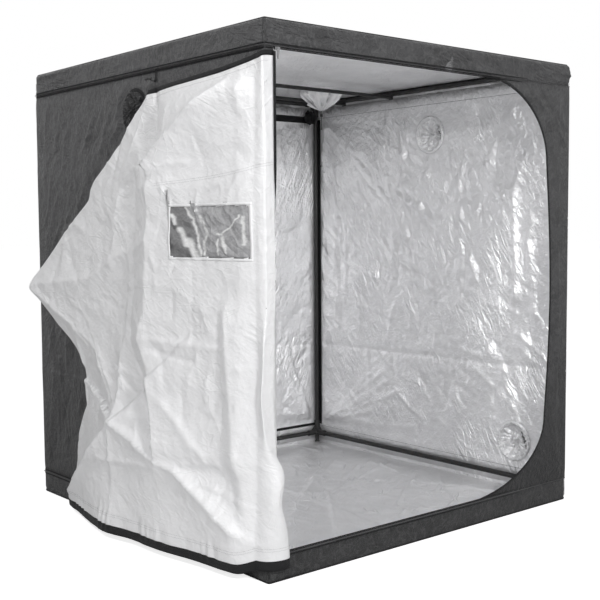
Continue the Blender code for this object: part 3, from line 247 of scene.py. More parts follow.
def thicken(thing, thickness=CLOTH, offset=-1.0, inner=1):
    """Give a sheet its thickness; its other side takes the inner finish."""
    wall = thing.modifiers.new("thickness", "SOLIDIFY")
    wall.thickness = thickness
    wall.offset = offset
    wall.material_offset = inner


def mark(thing, title, amounts):
    """Give a sheet's points a mask that its finish reads: shade darkens, glare whitens."""
    layer = thing.data.attributes.new(title, "FLOAT", "POINT")
    layer.data.foreach_set("value", np.clip(amounts, 0.0, 1.0).astype(np.float32).ravel())


def wear(thing, body, slot, *nodes):
    """Put a piece on its body, and let it stand for its nodes; its slot is not used."""
    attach(thing, body)
    if nodes:
        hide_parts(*nodes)


def tube(name, path, radius, finish, sides=8, closed=False, flat=1.0, up=(0.0, 0.0, 1.0)):
    """Sweep a round or flattened section along a path."""
    path = [Vector(point) for point in path]
    count = len(path)
    points, flat_map = [], []
    along = 0.0
    for index, point in enumerate(path):
        before = path[index - 1] if closed or index else point
        after = path[(index + 1) % count] if closed or index < count - 1 else point
        ahead = (after - before).normalized()
        side = ahead.cross(Vector(up))
        side = side.normalized() if side.length > 1e-6 else Vector((1.0, 0.0, 0.0))
        over = side.cross(ahead)
        size = radius[index] if hasattr(radius, "__len__") else radius
        ring, ring_map = [], []
        for step in range(sides):
            angle = math.tau * step / sides
            ring.append(point + side * (size * math.cos(angle))
                        + over * (size * flat * math.sin(angle)))
            ring_map.append((size * angle, along))
        points.append([tuple(p) for p in ring])
        flat_map.append(ring_map)
        along += (after - point).length
    if closed:
        points.append(points[0])
        flat_map.append(flat_map[0])
    made = sheet_mesh(name, np.array(points), np.array(flat_map), [finish], loop=True,
                      turned=True)
    if closed:
        merge(made)
    else:
        cap_ends(made, sides, count)
    return made


def merge(thing):
    """Join the doubled points of a closed ring."""
    shape = bmesh.new()
    shape.from_mesh(thing.data)
    bmesh.ops.remove_doubles(shape, verts=shape.verts, dist=1e-6)
    shape.to_mesh(thing.data)
    shape.free()


def cap_ends(thing, sides, count):
    """Close both ends of a swept tube."""
    shape = bmesh.new()
    shape.from_mesh(thing.data)
    shape.verts.ensure_lookup_table()
    first = [shape.verts[index] for index in range(sides)]
    last = [shape.verts[(count - 1) * sides + index] for index in range(sides)]
    shape.faces.new(first)
    shape.faces.new(last[::-1])
    bmesh.ops.recalc_face_normals(shape, faces=shape.faces)
    shape.to_mesh(thing.data)
    shape.free()


# Finishes

def new_group(name, inputs, outputs):
    """Start a shared shader group with named inputs and outputs."""
    group = bpy.data.node_groups.new(name, "ShaderNodeTree")
    for title, kind, value in inputs:
        socket = group.interface.new_socket(title, in_out="INPUT", socket_type=kind)
        if value is not None:
            socket.default_value = value
    for title, kind in outputs:
        group.interface.new_socket(title, in_out="OUTPUT", socket_type=kind)
    return group, group.nodes.new("NodeGroupInput"), group.nodes.new("NodeGroupOutput")


def add(tree, kind, settings=None, **values):
    """Add a shader node; its settings are properties, its values go on sockets."""
    made = tree.nodes.new(kind)
    for key, value in (settings or {}).items():
        setattr(made, key, value)
    for key, value in values.items():
        made.inputs[key.replace("_", " ")].default_value = value
    return made


def math_node(tree, operation, first, second=None):
    """Add a math node fed by sockets or numbers."""
    made = tree.nodes.new("ShaderNodeMath")
    made.operation = operation
    for index, source in enumerate((first, second)):
        if source is None:
            continue
        if isinstance(source, (int, float)):
            made.inputs[index].default_value = source
        else:
            tree.links.new(source, made.inputs[index])
    return made.outputs[0]


def make_crinkle():
    """Crumpled film: flat facets between fine creases, in two sizes."""
    group, entry, leave = new_group(
        "crinkle", [("Vector", "NodeSocketVector", None), ("Fineness", "NodeSocketFloat", 20.0)],
        [("Height", "NodeSocketFloat")])
    noise = add(group, "ShaderNodeTexNoise", Detail=2.0)
    group.links.new(entry.outputs["Vector"], noise.inputs["Vector"])
    group.links.new(math_node(group, "MULTIPLY", entry.outputs["Fineness"], 0.6),
                    noise.inputs["Scale"])
    sway = add(group, "ShaderNodeVectorMath", {"operation": "SCALE"})
    group.links.new(noise.outputs["Color"], sway.inputs[0])
    group.links.new(math_node(group, "DIVIDE", 0.9, entry.outputs["Fineness"]),
                    sway.inputs["Scale"])
    moved = add(group, "ShaderNodeVectorMath", {"operation": "ADD"})
    group.links.new(entry.outputs["Vector"], moved.inputs[0])
    group.links.new(sway.outputs[0], moved.inputs[1])
    total = None
    for share, weight in ((1.0, 0.62), (2.6, 0.28), (6.5, 0.10)):
        cell = add(group, "ShaderNodeTexVoronoi")
        group.links.new(moved.outputs[0], cell.inputs["Vector"])
        group.links.new(math_node(group, "MULTIPLY", entry.outputs["Fineness"], share),
                        cell.inputs["Scale"])
        level = math_node(group, "MULTIPLY", cell.outputs["Distance"], weight)
        total = level if total is None else math_node(group, "ADD", total, level)
    group.links.new(total, leave.inputs["Height"])
    return group


def make_weave():
    """Plain weave: threads that pass over and under, so many to the metre."""
    group, entry, leave = new_group(
        "weave", [("Vector", "NodeSocketVector", None), ("Threads", "NodeSocketFloat", 700.0)],
        [("Height", "NodeSocketFloat")])
    split = add(group, "ShaderNodeSeparateXYZ")
    group.links.new(entry.outputs["Vector"], split.inputs[0])
    pace = math_node(group, "MULTIPLY", entry.outputs["Threads"], math.tau)
    product = None
    for axis in ("X", "Y"):
        wave = math_node(group, "SINE", math_node(group, "MULTIPLY", split.outputs[axis], pace))
        product = wave if product is None else math_node(group, "MULTIPLY", product, wave)
    group.links.new(product, leave.inputs["Height"])
    return group


def make_ripples():
    """Long creases in one direction, as in cloth that is pulled: ridges and soft swells."""
    group, entry, leave = new_group(
        "ripples", [("Vector", "NodeSocketVector", None), ("Turn", "NodeSocketFloat", 0.0)],
        [("Height", "NodeSocketFloat")])
    turned = add(group, "ShaderNodeVectorRotate", {"rotation_type": "Z_AXIS"})
    group.links.new(entry.outputs["Vector"], turned.inputs["Vector"])
    group.links.new(entry.outputs["Turn"], turned.inputs["Angle"])
    drawn = add(group, "ShaderNodeVectorMath", {"operation": "MULTIPLY"})
    group.links.new(turned.outputs[0], drawn.inputs[0])
    drawn.inputs[1].default_value = (36.0, 8.0, 1.0)
    noise = add(group, "ShaderNodeTexNoise", Scale=1.0, Detail=3.0, Roughness=0.55,
                Distortion=0.6)
    group.links.new(drawn.outputs[0], noise.inputs["Vector"])
    gap = math_node(group, "ABSOLUTE", math_node(group, "SUBTRACT", noise.outputs["Fac"], 0.5))
    ridge = math_node(group, "SUBTRACT", 1.0, math_node(group, "MULTIPLY", gap, 3.0))
    ridge = math_node(group, "POWER", math_node(group, "MAXIMUM", ridge, 0.0), 2.0)
    spell = add(group, "ShaderNodeTexNoise", Scale=3.2, Detail=1.0)
    group.links.new(entry.outputs["Vector"], spell.inputs["Vector"])
    strong = add(group, "ShaderNodeMapRange", From_Min=0.42, From_Max=0.66)
    group.links.new(spell.outputs["Fac"], strong.inputs["Value"])
    group.links.new(math_node(group, "MULTIPLY", ridge, strong.outputs["Result"]),
                    leave.inputs["Height"])
    return group


def make_creases():
    """Thin straight creases left by folding and handling: a broken net of sharp ridges."""
    group, entry, leave = new_group(
        "creases", [("Vector", "NodeSocketVector", None), ("Fineness", "NodeSocketFloat", 4.0)],
        [("Height", "NodeSocketFloat")])
    noise = add(group, "ShaderNodeTexNoise", Scale=2.2, Detail=2.0)
    group.links.new(entry.outputs["Vector"], noise.inputs["Vector"])
    sway = add(group, "ShaderNodeVectorMath", {"operation": "SCALE"}, Scale=0.16)
    group.links.new(noise.outputs["Color"], sway.inputs[0])
    moved = add(group, "ShaderNodeVectorMath", {"operation": "ADD"})
    group.links.new(entry.outputs["Vector"], moved.inputs[0])
    group.links.new(sway.outputs[0], moved.inputs[1])
    total = None
    for share, width in ((1.0, 0.014), (2.4, 0.030)):
        cell = add(group, "ShaderNodeTexVoronoi", {"feature": "DISTANCE_TO_EDGE"})
        group.links.new(moved.outputs[0], cell.inputs["Vector"])
        group.links.new(math_node(group, "MULTIPLY", entry.outputs["Fineness"], share),
                        cell.inputs["Scale"])
        line = math_node(group, "SUBTRACT", 1.0,
                         math_node(group, "DIVIDE", cell.outputs["Distance"], width))
        line = math_node(group, "MAXIMUM", line, 0.0)
        total = line if total is None else math_node(group, "MAXIMUM", total, line)
    spell = add(group, "ShaderNodeTexNoise", Scale=4.5, Detail=2.0)
    group.links.new(entry.outputs["Vector"], spell.inputs["Vector"])
    strong = add(group, "ShaderNodeMapRange", From_Min=0.46, From_Max=0.60)
    group.links.new(spell.outputs["Fac"], strong.inputs["Value"])
    group.links.new(math_node(group, "MULTIPLY", total, strong.outputs["Result"]),
                    leave.inputs["Height"])
    return group


def make_mottle():
    """Uneven tone over a sheet, with thin pale veins that are painted highlights along fine
    wrinkles.
    """
    group, entry, leave = new_group(
        "mottle", [("Vector", "NodeSocketVector", None), ("Fineness", "NodeSocketFloat", 9.0)],
        [("Tone", "NodeSocketFloat"), ("Vein", "NodeSocketFloat")])
    cloud = add(group, "ShaderNodeTexNoise", Detail=5.0, Roughness=0.62)
    group.links.new(entry.outputs["Vector"], cloud.inputs["Vector"])
    group.links.new(entry.outputs["Fineness"], cloud.inputs["Scale"])
    group.links.new(cloud.outputs["Fac"], leave.inputs["Tone"])
    line = add(group, "ShaderNodeTexNoise", Detail=3.0, Distortion=0.8)
    group.links.new(entry.outputs["Vector"], line.inputs["Vector"])
    group.links.new(math_node(group, "MULTIPLY", entry.outputs["Fineness"], 2.2),
                    line.inputs["Scale"])
    gap = math_node(group, "ABSOLUTE", math_node(group, "SUBTRACT", line.outputs["Fac"], 0.5))
    thin = math_node(group, "SUBTRACT", 1.0, math_node(group, "MULTIPLY", gap, 26.0))
    group.links.new(math_node(group, "MAXIMUM", thin, 0.0), leave.inputs["Vein"])
    return group


CRINKLE = make_crinkle()
WEAVE = make_weave()
RIPPLES = make_ripples()
CREASES = make_creases()
MOTTLE = make_mottle()


def place_group(tree, group, coordinates, **values):
    """Place a shared group in a finish, fed with coordinates and its own values."""
    made = tree.nodes.new("ShaderNodeGroup")
    made.node_tree = group
    tree.links.new(coordinates, made.inputs["Vector"])
    for key, value in values.items():
        made.inputs[key].default_value = value
    return made


def tinted(tree, color, mask, tint):
    """Mix a colour towards a tint where a mask is high."""
    mix = add(tree, "ShaderNodeMix", {"data_type": "RGBA"})
    mix.inputs["B"].default_value = (*tint, 1.0)
    tree.links.new(mask, mix.inputs[0])
    tree.links.new(color, mix.inputs["A"])
    return mix.outputs["Result"]


MARK_TONES = {"shade": (0.010, 0.010, 0.010), "glare": (0.95, 0.95, 0.95)}


def finish_material(name, tone, roughness, metallic=0.0, vein=0.0, crumple=(20.0, 0.0),
                    threads=(700.0, 0.0), pull=(0.0, 0.0), creases=(4.0, 0.0), spread=0.12,
                    own_map=True, mottle=9.0, rough_spread=0.1, foot=None, marks=(),
                    **constants):
    """Make a procedural finish: mottled colour, uneven gloss, and bump in up to four sizes.

    Pull, creases, crumple and threads are (turn or fineness, depth); foot is the painted shade
    low down, marks are the masks that mark() gives the piece, other words go on the shader.
    """
    made = bpy.data.materials.new(name)
    made.use_nodes = True
    tree = made.node_tree
    shader = tree.nodes["Principled BSDF"]
    if own_map:
        coordinates = add(tree, "ShaderNodeUVMap", {"uv_map": "cloth"}).outputs["UV"]
    else:
        coordinates = tree.nodes.new("ShaderNodeTexCoord").outputs["Object"]
    patches = place_group(tree, MOTTLE, coordinates, Fineness=mottle)
    low = [channel * (1.0 - spread) for channel in tone]
    high = [min(channel * (1.0 + spread), 1.0) for channel in tone]
    mix = add(tree, "ShaderNodeMix", {"data_type": "RGBA"})
    mix.inputs["A"].default_value = (*low, 1.0)
    mix.inputs["B"].default_value = (*high, 1.0)
    tree.links.new(math_node(tree, "MULTIPLY_ADD", patches.outputs["Tone"], 2.4), mix.inputs[0])
    mix.inputs[0].links[0].from_node.inputs[2].default_value = -0.7
    mix.inputs[0].links[0].from_node.use_clamp = True
    color = mix.outputs["Result"]
    # Pale veins: painted highlights along the cloth's fine wrinkles.
    if vein:
        color = tinted(tree, color, patches.outputs["Vein"],
                       [min(channel + vein, 1.0) for channel in tone])
    # Painted shade: the colour darkens towards the foot of the piece, where less light falls.
    if foot is not None:
        height = add(tree, "ShaderNodeSeparateXYZ")
        tree.links.new(coordinates, height.inputs[0])
        painted_shade_low_down = add(tree, "ShaderNodeMapRange", From_Min=0.9, From_Max=0.1)
        tree.links.new(height.outputs["Y"], painted_shade_low_down.inputs["Value"])
        color = tinted(tree, color, painted_shade_low_down.outputs["Result"], foot)
    for title in marks:
        mask = add(tree, "ShaderNodeAttribute", {"attribute_name": title})
        color = tinted(tree, color, mask.outputs["Fac"], MARK_TONES[title])
    tree.links.new(color, shader.inputs["Base Color"])
    gloss = math_node(tree, "MULTIPLY_ADD", patches.outputs["Tone"], rough_spread * 2.0)
    gloss.node.inputs[2].default_value = roughness - rough_spread
    tree.links.new(gloss, shader.inputs["Roughness"])
    shader.inputs["Metallic"].default_value = metallic
    for key, value in constants.items():
        shader.inputs[key.replace("_", " ")].default_value = value
    normal = None
    for group, size, depth, socket in ((RIPPLES, pull[0], pull[1], "Turn"),
                                       (CREASES, creases[0], creases[1], "Fineness"),
                                       (CRINKLE, crumple[0], crumple[1], "Fineness"),
                                       (WEAVE, threads[0], threads[1], "Threads")):
        if not depth:
            continue
        pattern = place_group(tree, group, coordinates, **{socket: size})
        bump = add(tree, "ShaderNodeBump", Strength=1.0, Distance=depth)
        tree.links.new(pattern.outputs["Height"], bump.inputs["Height"])
        if normal is not None:
            tree.links.new(normal, bump.inputs["Normal"])
        normal = bump.outputs["Normal"]
    if normal is not None:
        tree.links.new(normal, shader.inputs["Normal"])
    return made


# The cloth's pale veins are painted highlights along its fine wrinkles.
CLOTH_LOOK = {"vein": 0.034, "crumple": (38.0, 0.0050), "threads": (620.0, 0.00018),
              "creases": (4.0, 0.0012), "spread": 0.38, "Sheen_Weight": 0.10,
              "Sheen_Roughness": 0.45, "Specular_IOR_Level": 0.38}
# The black cloth is painted darker low down: painted shade towards the bottom of the walls.
BLACK = finish_material("black_woven_cloth", (0.054, 0.054, 0.056), 0.42, pull=(0.5, 0.0045),
                        foot=(0.011, 0.011, 0.012), marks=("shade",), **CLOTH_LOOK)
ROOF_CLOTH = finish_material("roof_band_cloth", (0.050, 0.050, 0.052), 0.44,
                             pull=(1.75, 0.0060), **CLOTH_LOOK)
# The base band is the roof band's cloth painted much darker: painted shade at the foot of the tent.
SHADED_BASE_CLOTH = finish_material("base_band_cloth", (0.020, 0.020, 0.021), 0.46,
                             pull=(1.75, 0.0045), **CLOTH_LOOK)
LINING = finish_material("reflective_lining", (0.90, 0.90, 0.91), 0.32, metallic=0.58,
                         crumple=(30.0, 0.0050), pull=(0.45, 0.0060), creases=(3.4, 0.0008),
                         threads=(520.0, 0.00006), spread=0.06)
MAT_LINING = finish_material("floor_lining", (0.88, 0.88, 0.89), 0.32, metallic=0.58,
                             crumple=(24.0, 0.0040), pull=(1.2, 0.0030),
                             creases=(2.6, 0.0050), threads=(520.0, 0.00006), spread=0.06)
DOOR_LINING = finish_material("door_lining", (0.84, 0.84, 0.85), 0.40, metallic=0.05,
                              crumple=(20.0, 0.0044), pull=(1.1, 0.0014),
                              creases=(5.0, 0.0010), threads=(520.0, 0.00006), spread=0.03,
                              marks=("shade",))
FOIL = finish_material("gathered_lining", (0.82, 0.82, 0.83), 0.30, metallic=0.45,
                       crumple=(60.0, 0.0090), spread=0.10, marks=("shade", "glare"))
TAPE = finish_material("binding_tape", (0.010, 0.010, 0.011), 0.62, crumple=(60.0, 0.0005),
                       threads=(500.0, 0.00030), spread=0.20, Specular_IOR_Level=0.25)
BAND = finish_material("seam_band", (0.085, 0.085, 0.088), 0.50, crumple=(50.0, 0.0008),
                       threads=(620.0, 0.00020), spread=0.20, Sheen_Weight=0.10)
THREAD = finish_material("sewing_thread", (0.16, 0.16, 0.165), 0.60, spread=0.15, own_map=False)
NYLON = finish_material("zip_nylon", (0.012, 0.012, 0.013), 0.42, spread=0.20, own_map=False,
                        crumple=(150.0, 0.0002), Specular_IOR_Level=0.3)
STEEL = finish_material("coated_steel", (0.012, 0.012, 0.013), 0.46, spread=0.25, own_map=False,
                        crumple=(420.0, 0.00006), Specular_IOR_Level=0.3)
PLASTIC = finish_material("moulded_plastic", (0.014, 0.014, 0.015), 0.52, spread=0.20,
                          own_map=False, crumple=(600.0, 0.00008), Specular_IOR_Level=0.3)
ZINC = finish_material("black_plated_zinc", (0.060, 0.060, 0.064), 0.30, metallic=0.9,
                       spread=0.25, own_map=False, mottle=60.0)
WEBBING = finish_material("black_webbing", (0.012, 0.012, 0.013), 0.70, own_map=False,
                          threads=(420.0, 0.00035), crumple=(90.0, 0.0004), spread=0.25,
                          Specular_IOR_Level=0.25)
VINYL = finish_material("clear_vinyl", (0.44, 0.44, 0.45), 0.20,
                        crumple=(30.0, 0.0060), spread=0.20, mottle=26.0,
                        marks=("shade", "glare"), Transmission_Weight=0.22, Coat_Weight=0.4,
                        Coat_Roughness=0.10)


# Camera, cord and light

# Where the camera stands, its turns in degrees, and its lens by the photograph's pixels
CAMERA_PLACE = (-3.097, -3.708, 1.277)
CAMERA_TURNS = (39.98, -4.08, -0.37)
FOCAL_PIXELS = 1027.5
PHOTO_PIXELS = 600.0
SENSOR = 36.0


def make_camera():
    """Stand the camera where the photograph was taken from."""
    yaw, pitch, roll = (math.radians(angle) for angle in CAMERA_TURNS)
    ahead = Vector((math.cos(pitch) * math.sin(yaw), math.cos(pitch) * math.cos(yaw),
                    math.sin(pitch)))
    right = ahead.cross(Vector((0.0, 0.0, 1.0))).normalized()
    up = right.cross(ahead)
    across = right * math.cos(roll) + up * math.sin(roll)
    over = up * math.cos(roll) - right * math.sin(roll)
    lens = bpy.data.cameras.new("camera")
    lens.sensor_width = SENSOR
    lens.lens = SENSOR * FOCAL_PIXELS / PHOTO_PIXELS
    camera = bpy.data.objects.new("camera", lens)
    turn = Matrix((across, over, -ahead)).transposed().to_4x4()
    camera.matrix_world = Matrix.Translation(CAMERA_PLACE) @ turn
    bpy.context.scene.collection.objects.link(camera)
    bpy.context.scene.camera = camera
    bpy.context.scene.view_settings.view_transform = "Standard"


def make_drawcord():
    """Hang the tail of the roof sleeve's drawcord, with its lock and knot."""
    length = 0.090
    path = [(*ROOF_PORT, SLEEVE_END - length * step / 15) for step in range(16)]
    cord = tube("drawcord", path, 0.0015, WEBBING, sides=10, up=(1.0, 0.0, 0.0))
    wear(cord, "tent", "black_webbing", "roof_sleeve_cord")


def lamp(name, place, aim, size, power):
    """Hang one soft square lamp that points at a spot."""
    light = bpy.data.lights.new(name, "AREA")
    light.size = size
    light.energy = power
    made = bpy.data.objects.new(name, light)
    made.location = place
    turn = (Vector(aim) - Vector(place)).to_track_quat("-Z", "Y")
    made.rotation_euler = turn.to_euler()
    bpy.context.scene.collection.objects.link(made)


def make_world():
    """Light the room evenly; what looks at the room itself sees white."""
    world = bpy.data.worlds.new("studio")
    bpy.context.scene.world = world
    world.use_nodes = True
    tree = world.node_tree
    rays = tree.nodes.new("ShaderNodeLightPath")
    seen = math_node(tree, "MAXIMUM", rays.outputs["Is Camera Ray"],
                     rays.outputs["Is Glossy Ray"])
    seen = math_node(tree, "MAXIMUM", seen, rays.outputs["Is Transmission Ray"])
    strength = math_node(tree, "MULTIPLY_ADD", seen, 1.0 - AMBIENT)
    strength.node.inputs[2].default_value = AMBIENT
    back = tree.nodes["Background"]
    back.inputs["Color"].default_value = (1.0, 1.0, 1.0, 1.0)
    tree.links.new(strength, back.inputs["Strength"])


def make_floor():
    """Lay the pale studio floor."""
    mesh = bpy.data.meshes.new("floor")
    reach = 60.0
    mesh.from_pydata([(-reach, -reach, -0.001), (reach, -reach, -0.001),
                      (reach, reach, -0.001), (-reach, reach, -0.001)], [], [(0, 1, 2, 3)])
    floor = bpy.data.objects.new("floor", mesh)
    bpy.context.scene.collection.objects.link(floor)
    paper = bpy.data.materials.new("white_paper")
    paper.use_nodes = True
    tree = paper.node_tree
    shader = tree.nodes["Principled BSDF"]
    shader.inputs["Base Color"].default_value = (0.93, 0.93, 0.93, 1.0)
    shader.inputs["Roughness"].default_value = 0.9
    shader.inputs["Specular IOR Level"].default_value = 0.1
    shader.inputs["Emission Color"].default_value = (1.0, 1.0, 1.0, 1.0)
    rays = tree.nodes.new("ShaderNodeLightPath")
    seen = math_node(tree, "MAXIMUM", rays.outputs["Is Camera Ray"],
                     rays.outputs["Is Transmission Ray"])
    tree.links.new(math_node(tree, "MULTIPLY", seen, 0.80), shader.inputs["Emission Strength"])
    mesh.materials.append(paper)
    floor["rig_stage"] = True


# The room's own light, then each lamp's name, place, aim, size and power
AMBIENT = 0.19
LAMPS = (
    ("key", (-4.0, -1.9, 3.6), (-0.8, -0.1, 1.3), 0.5, 69.0),
    ("doorway", (-1.75, -4.6, 2.4), (0.3, 0.2, 1.0), 0.45, 90.0),
    ("overhead", (-0.6, -0.6, 5.2), (0.0, 0.0, 1.0), 4.0, 26.0),
    ("inside", (-0.35, -0.75, 1.75), (0.45, 0.80, 1.05), 0.9, 4.6),
)


# Cover

def wall_points(axis, sign, across, up, out):
    """Place a sheet's points on one side of the tent; out is away from its middle."""
    level = sign * (HALF + out)
    if axis == "x":
        return np.stack([level, across, up], axis=-1)
    return np.stack([across, level, up], axis=-1)


def edge_fade(across, up, low, high):
    """Let a wall move inwards only away from the frame at its edges."""
    fade = ramp(HALF - np.abs(across), 0.03, 0.10)
    return fade * ramp(up, low + 0.02, low + 0.09) * ramp(high - up, 0.02, 0.07)


def keep_clear(out, across, up, low=WALL_FOOT, high=WALL_HEAD):
    """Hold the inward part of a wall's waves off the frame."""
    fade = edge_fade(across, up, low, high)
    return np.where(out > 0.0, out * (0.35 + 0.65 * fade), out * fade)


def port_distance(across, up, port):
    """Distance of each point from a port's middle."""
    return np.hypot(across - port[0], up - port[1])


def port_folds(across, up, port, seed):
    """Small creases that fan out from a port's seam."""
    gap = port_distance(across, up, port)
    angle = np.arctan2(up - port[1], across - port[0])
    fan = np.sin(angle * 13.0 + seed) + 0.6 * np.sin(angle * 23.0 + 2.0 * seed)
    return 0.0016 * fan * np.exp(-np.maximum(gap - PORT_RADIUS, 0.0) / 0.05)


def common_folds(across, up, seed, lean=1.9):
    """Slack, crumples and storage creases that every wall has."""
    out = 0.0050 * waves(across, up, seed, 0.62, 2)
    out = out + 0.0014 * waves(across, up * 0.45, seed + 1, 0.16, 2)
    out = out + scattered_folds(across, up, seed + 2, 300, (-0.85, 0.85, 0.15, 1.75), 0.26,
                                0.0062, 0.0085, lean)
    out = out + scattered_folds(across, up, seed + 3, 160, (-0.85, 0.85, 0.12, 1.85), 0.11,
                                0.0042, 0.007)
    return out


def corner_fan(across, up, corner, spread, count, length, height, seed):
    """Folds that run out of a corner where the cloth is pulled over the frame."""
    luck = np.random.default_rng(seed)
    total = np.zeros_like(across)
    for index in range(count):
        angle = spread[0] + (spread[1] - spread[0]) * (index + luck.uniform(0.2, 0.8)) / count
        reach = length * luck.uniform(0.5, 1.0)
        start = (corner[0] + 0.05 * math.cos(angle), corner[1] + 0.05 * math.sin(angle))
        end = (corner[0] + reach * math.cos(angle), corner[1] + reach * math.sin(angle))
        total = total + fold(across, up, [start, end], height * luck.uniform(0.5, 1.0),
                             0.010, 0.018)
    return total


def make_wall(name, axis, sign, seed, ports, extra):
    """Hang one wall: black outside, lined inside, with its port holes."""
    columns, rows = 190, 196
    reach = HALF if axis == "x" else HALF - 0.0015
    line = np.linspace(-reach, reach, columns)
    heights = np.concatenate([[0.020, WALL_FOOT - 0.003],
                              np.linspace(WALL_FOOT, WALL_HEAD, rows - 4),
                              [WALL_HEAD + 0.003, 1.960]])
    across, up = np.meshgrid(line, heights)
    out = common_folds(across, up, seed, 1.0 if sign > 0.0 else 1.9) + 1.5 * extra(across, up)
    for port in ports:
        near = 1.0 - ramp(port_distance(across, up, port), PORT_RADIUS + 0.01,
                          PORT_RADIUS + 0.06)
        out = out * (1.0 - near) + port_folds(across, up, port, seed)
    out = keep_clear(out, across, up)
    if name == "wall_left_cloth":
        out = out * ramp(across, -0.84, -0.66)
    calm = ramp(up, 0.106, 0.150) * (1.0 - ramp(up, 1.850, 1.898))
    out = out * calm - WALL_TUCK * (1.0 - calm)
    tucked = (up < WALL_FOOT - 0.002) | (up > WALL_HEAD + 0.002)
    out = np.where(tucked, -WALL_TUCK, out)
    skip = np.zeros((rows - 1, columns - 1), bool)
    middle_across = (across[1:, 1:] + across[:-1, :-1]) / 2
    middle_up = (up[1:, 1:] + up[:-1, :-1]) / 2
    for port in ports:
        skip |= port_distance(middle_across, middle_up, port) < PORT_RADIUS + 0.004
    points = wall_points(axis, sign, across, up, out)
    turned = (sign < 0) == (axis == "x")
    wall = sheet_mesh(name, points, np.stack([across, up], axis=-1), [BLACK, LINING], skip,
                      turned=turned)
    thicken(wall)
    wear(wall, "tent", "black_cloth", name.removesuffix("_cloth"))


RIGHT_WALL_FOLDS = (
    (((0.80, 0.585), (0.484, 0.590), (-0.86, 0.598)), 0.0050, 0.012),
    (((0.500, 0.860), (0.509, 0.601), (0.526, 0.468), (0.512, 0.305)), -0.0060, 0.012, 0.022),
    (((-0.611, 1.530), (-0.570, 1.446), (-0.571, 1.336), (-0.584, 1.226), (-0.579, 1.158),
      (-0.598, 1.043), (-0.585, 0.930)), -0.0100, 0.014, 0.030),
    (((-0.684, 1.297), (-0.661, 1.202), (-0.674, 1.124), (-0.699, 0.987), (-0.705, 0.860)),
     -0.0080, 0.012, 0.026),
    (((-0.345, 0.560), (-0.586, 0.393)), -0.0070, 0.012, 0.030),
    (((-0.595, 0.760), (-0.789, 0.636)), -0.0070, 0.010, 0.020),
    (((-0.600, 0.700), (-0.790, 0.570)), -0.0060, 0.010, 0.020),
    (((0.690, 1.620), (0.692, 1.080), (0.680, 0.700)), -0.0060, 0.010, 0.020),
    (((0.622, 1.430), (0.625, 0.683)), -0.0050, 0.010, 0.020),
    (((0.179, 1.650), (0.178, 1.200)), -0.0050, 0.010, 0.020),
    (((-0.244, 1.205), (-0.240, 0.900)), -0.0050, 0.010, 0.020),
)
BACK_WALL_FOLDS = (
    (((-0.86, 0.600), (0.62, 0.588), (0.86, 0.580)), 0.0050, 0.012),
    (((0.30, 1.85), (0.31, 0.15)), -0.0050, 0.014),
)
LEFT_WALL_FOLDS = (
    (((-0.86, 0.600), (0.86, 0.590)), 0.0040, 0.012),
    (((-0.20, 1.88), (0.30, 1.60), (0.70, 1.10)), 0.0040, 0.03),
)
JAMB_FOLDS = (
    (((0.600, 1.880), (0.860, 1.640)), 0.0050, 0.02),
    (((0.860, 1.880), (0.700, 1.720)), 0.0040, 0.015),
    (((0.800, 1.600), (0.815, 0.900), (0.80, 0.450)), 0.0050, 0.02),
    (((0.730, 0.820), (0.870, 0.760)), 0.0040, 0.01),
)
MAT_FOLDS = (
    (((0.80, 0.20), (0.10, -0.10), (-0.50, -0.85)), 0.0120, 0.007),
    (((0.70, -0.10), (0.20, -0.45), (0.05, -0.85)), 0.0110, 0.007),
    (((0.20, 0.85), (0.0, 0.10), (-0.10, -0.85)), 0.0110, 0.007),
    (((-0.20, 0.60), (0.60, -0.20), (0.80, -0.80)), 0.0110, 0.007),
    (((0.85, 0.85), (0.55, 0.42), (0.10, 0.05), (-0.30, -0.30)), 0.0100, 0.020, 0.05),
    (((0.85, 0.60), (0.20, 0.10), (-0.20, -0.60)), 0.0060, 0.02),
    (((-0.60, 0.30), (0.30, -0.20), (0.84, -0.55)), 0.0070, 0.025),
    (((0.30, 0.80), (0.28, -0.80)), 0.0050, 0.012),
    (((-0.80, -0.05), (0.80, -0.06)), 0.0050, 0.012),
)


def right_wall_folds(across, up):
    """Folds of the right wall as the photograph shows them."""
    out = add_folds(np.zeros_like(across), across, up, RIGHT_WALL_FOLDS)
    out = out + scattered_folds(across, up, 35, 110, (-0.10, 0.84, 0.95, 1.70), 0.26, 0.0065,
                                0.009, lean=0.95)
    out = out + scattered_folds(across, up, 36, 90, (-0.70, 0.40, 0.30, 1.60), 0.24, 0.0060,
                                0.010, lean=1.50)
    out = out + corner_fan(across, up, (0.84, 1.92), (3.65, 4.35), 11, 0.85, -0.0045, 31)
    out = out + corner_fan(across, up, (0.84, 0.12), (2.45, 3.05), 9, 0.75, -0.0055, 32)
    out = out + corner_fan(across, up, (-0.60, 1.90), (3.9, 5.4), 8, 0.35, -0.0045, 33)
    return out


def back_wall_folds(across, up):
    """Storage creases and pulls of the back wall."""
    out = add_folds(np.zeros_like(across), across, up, BACK_WALL_FOLDS)
    out = out + corner_fan(across, up, (0.84, 1.92), (3.5, 4.4), 9, 0.7, -0.0050, 41)
    out = out + corner_fan(across, up, (0.84, 0.12), (1.9, 2.9), 8, 0.6, -0.0050, 42)
    return out


def left_wall_folds(across, up):
    """Pulls of the left wall towards the port and the door's ties."""
    out = add_folds(np.zeros_like(across), across, up, LEFT_WALL_FOLDS)
    out = out + corner_fan(across, up, (0.84, 1.0), (2.2, 4.1), 10, 0.5, 0.0040, 51)
    out = out + corner_fan(across, up, (-0.20, 1.89), (3.4, 6.0), 10, 0.4, 0.0035, 52)
    return out


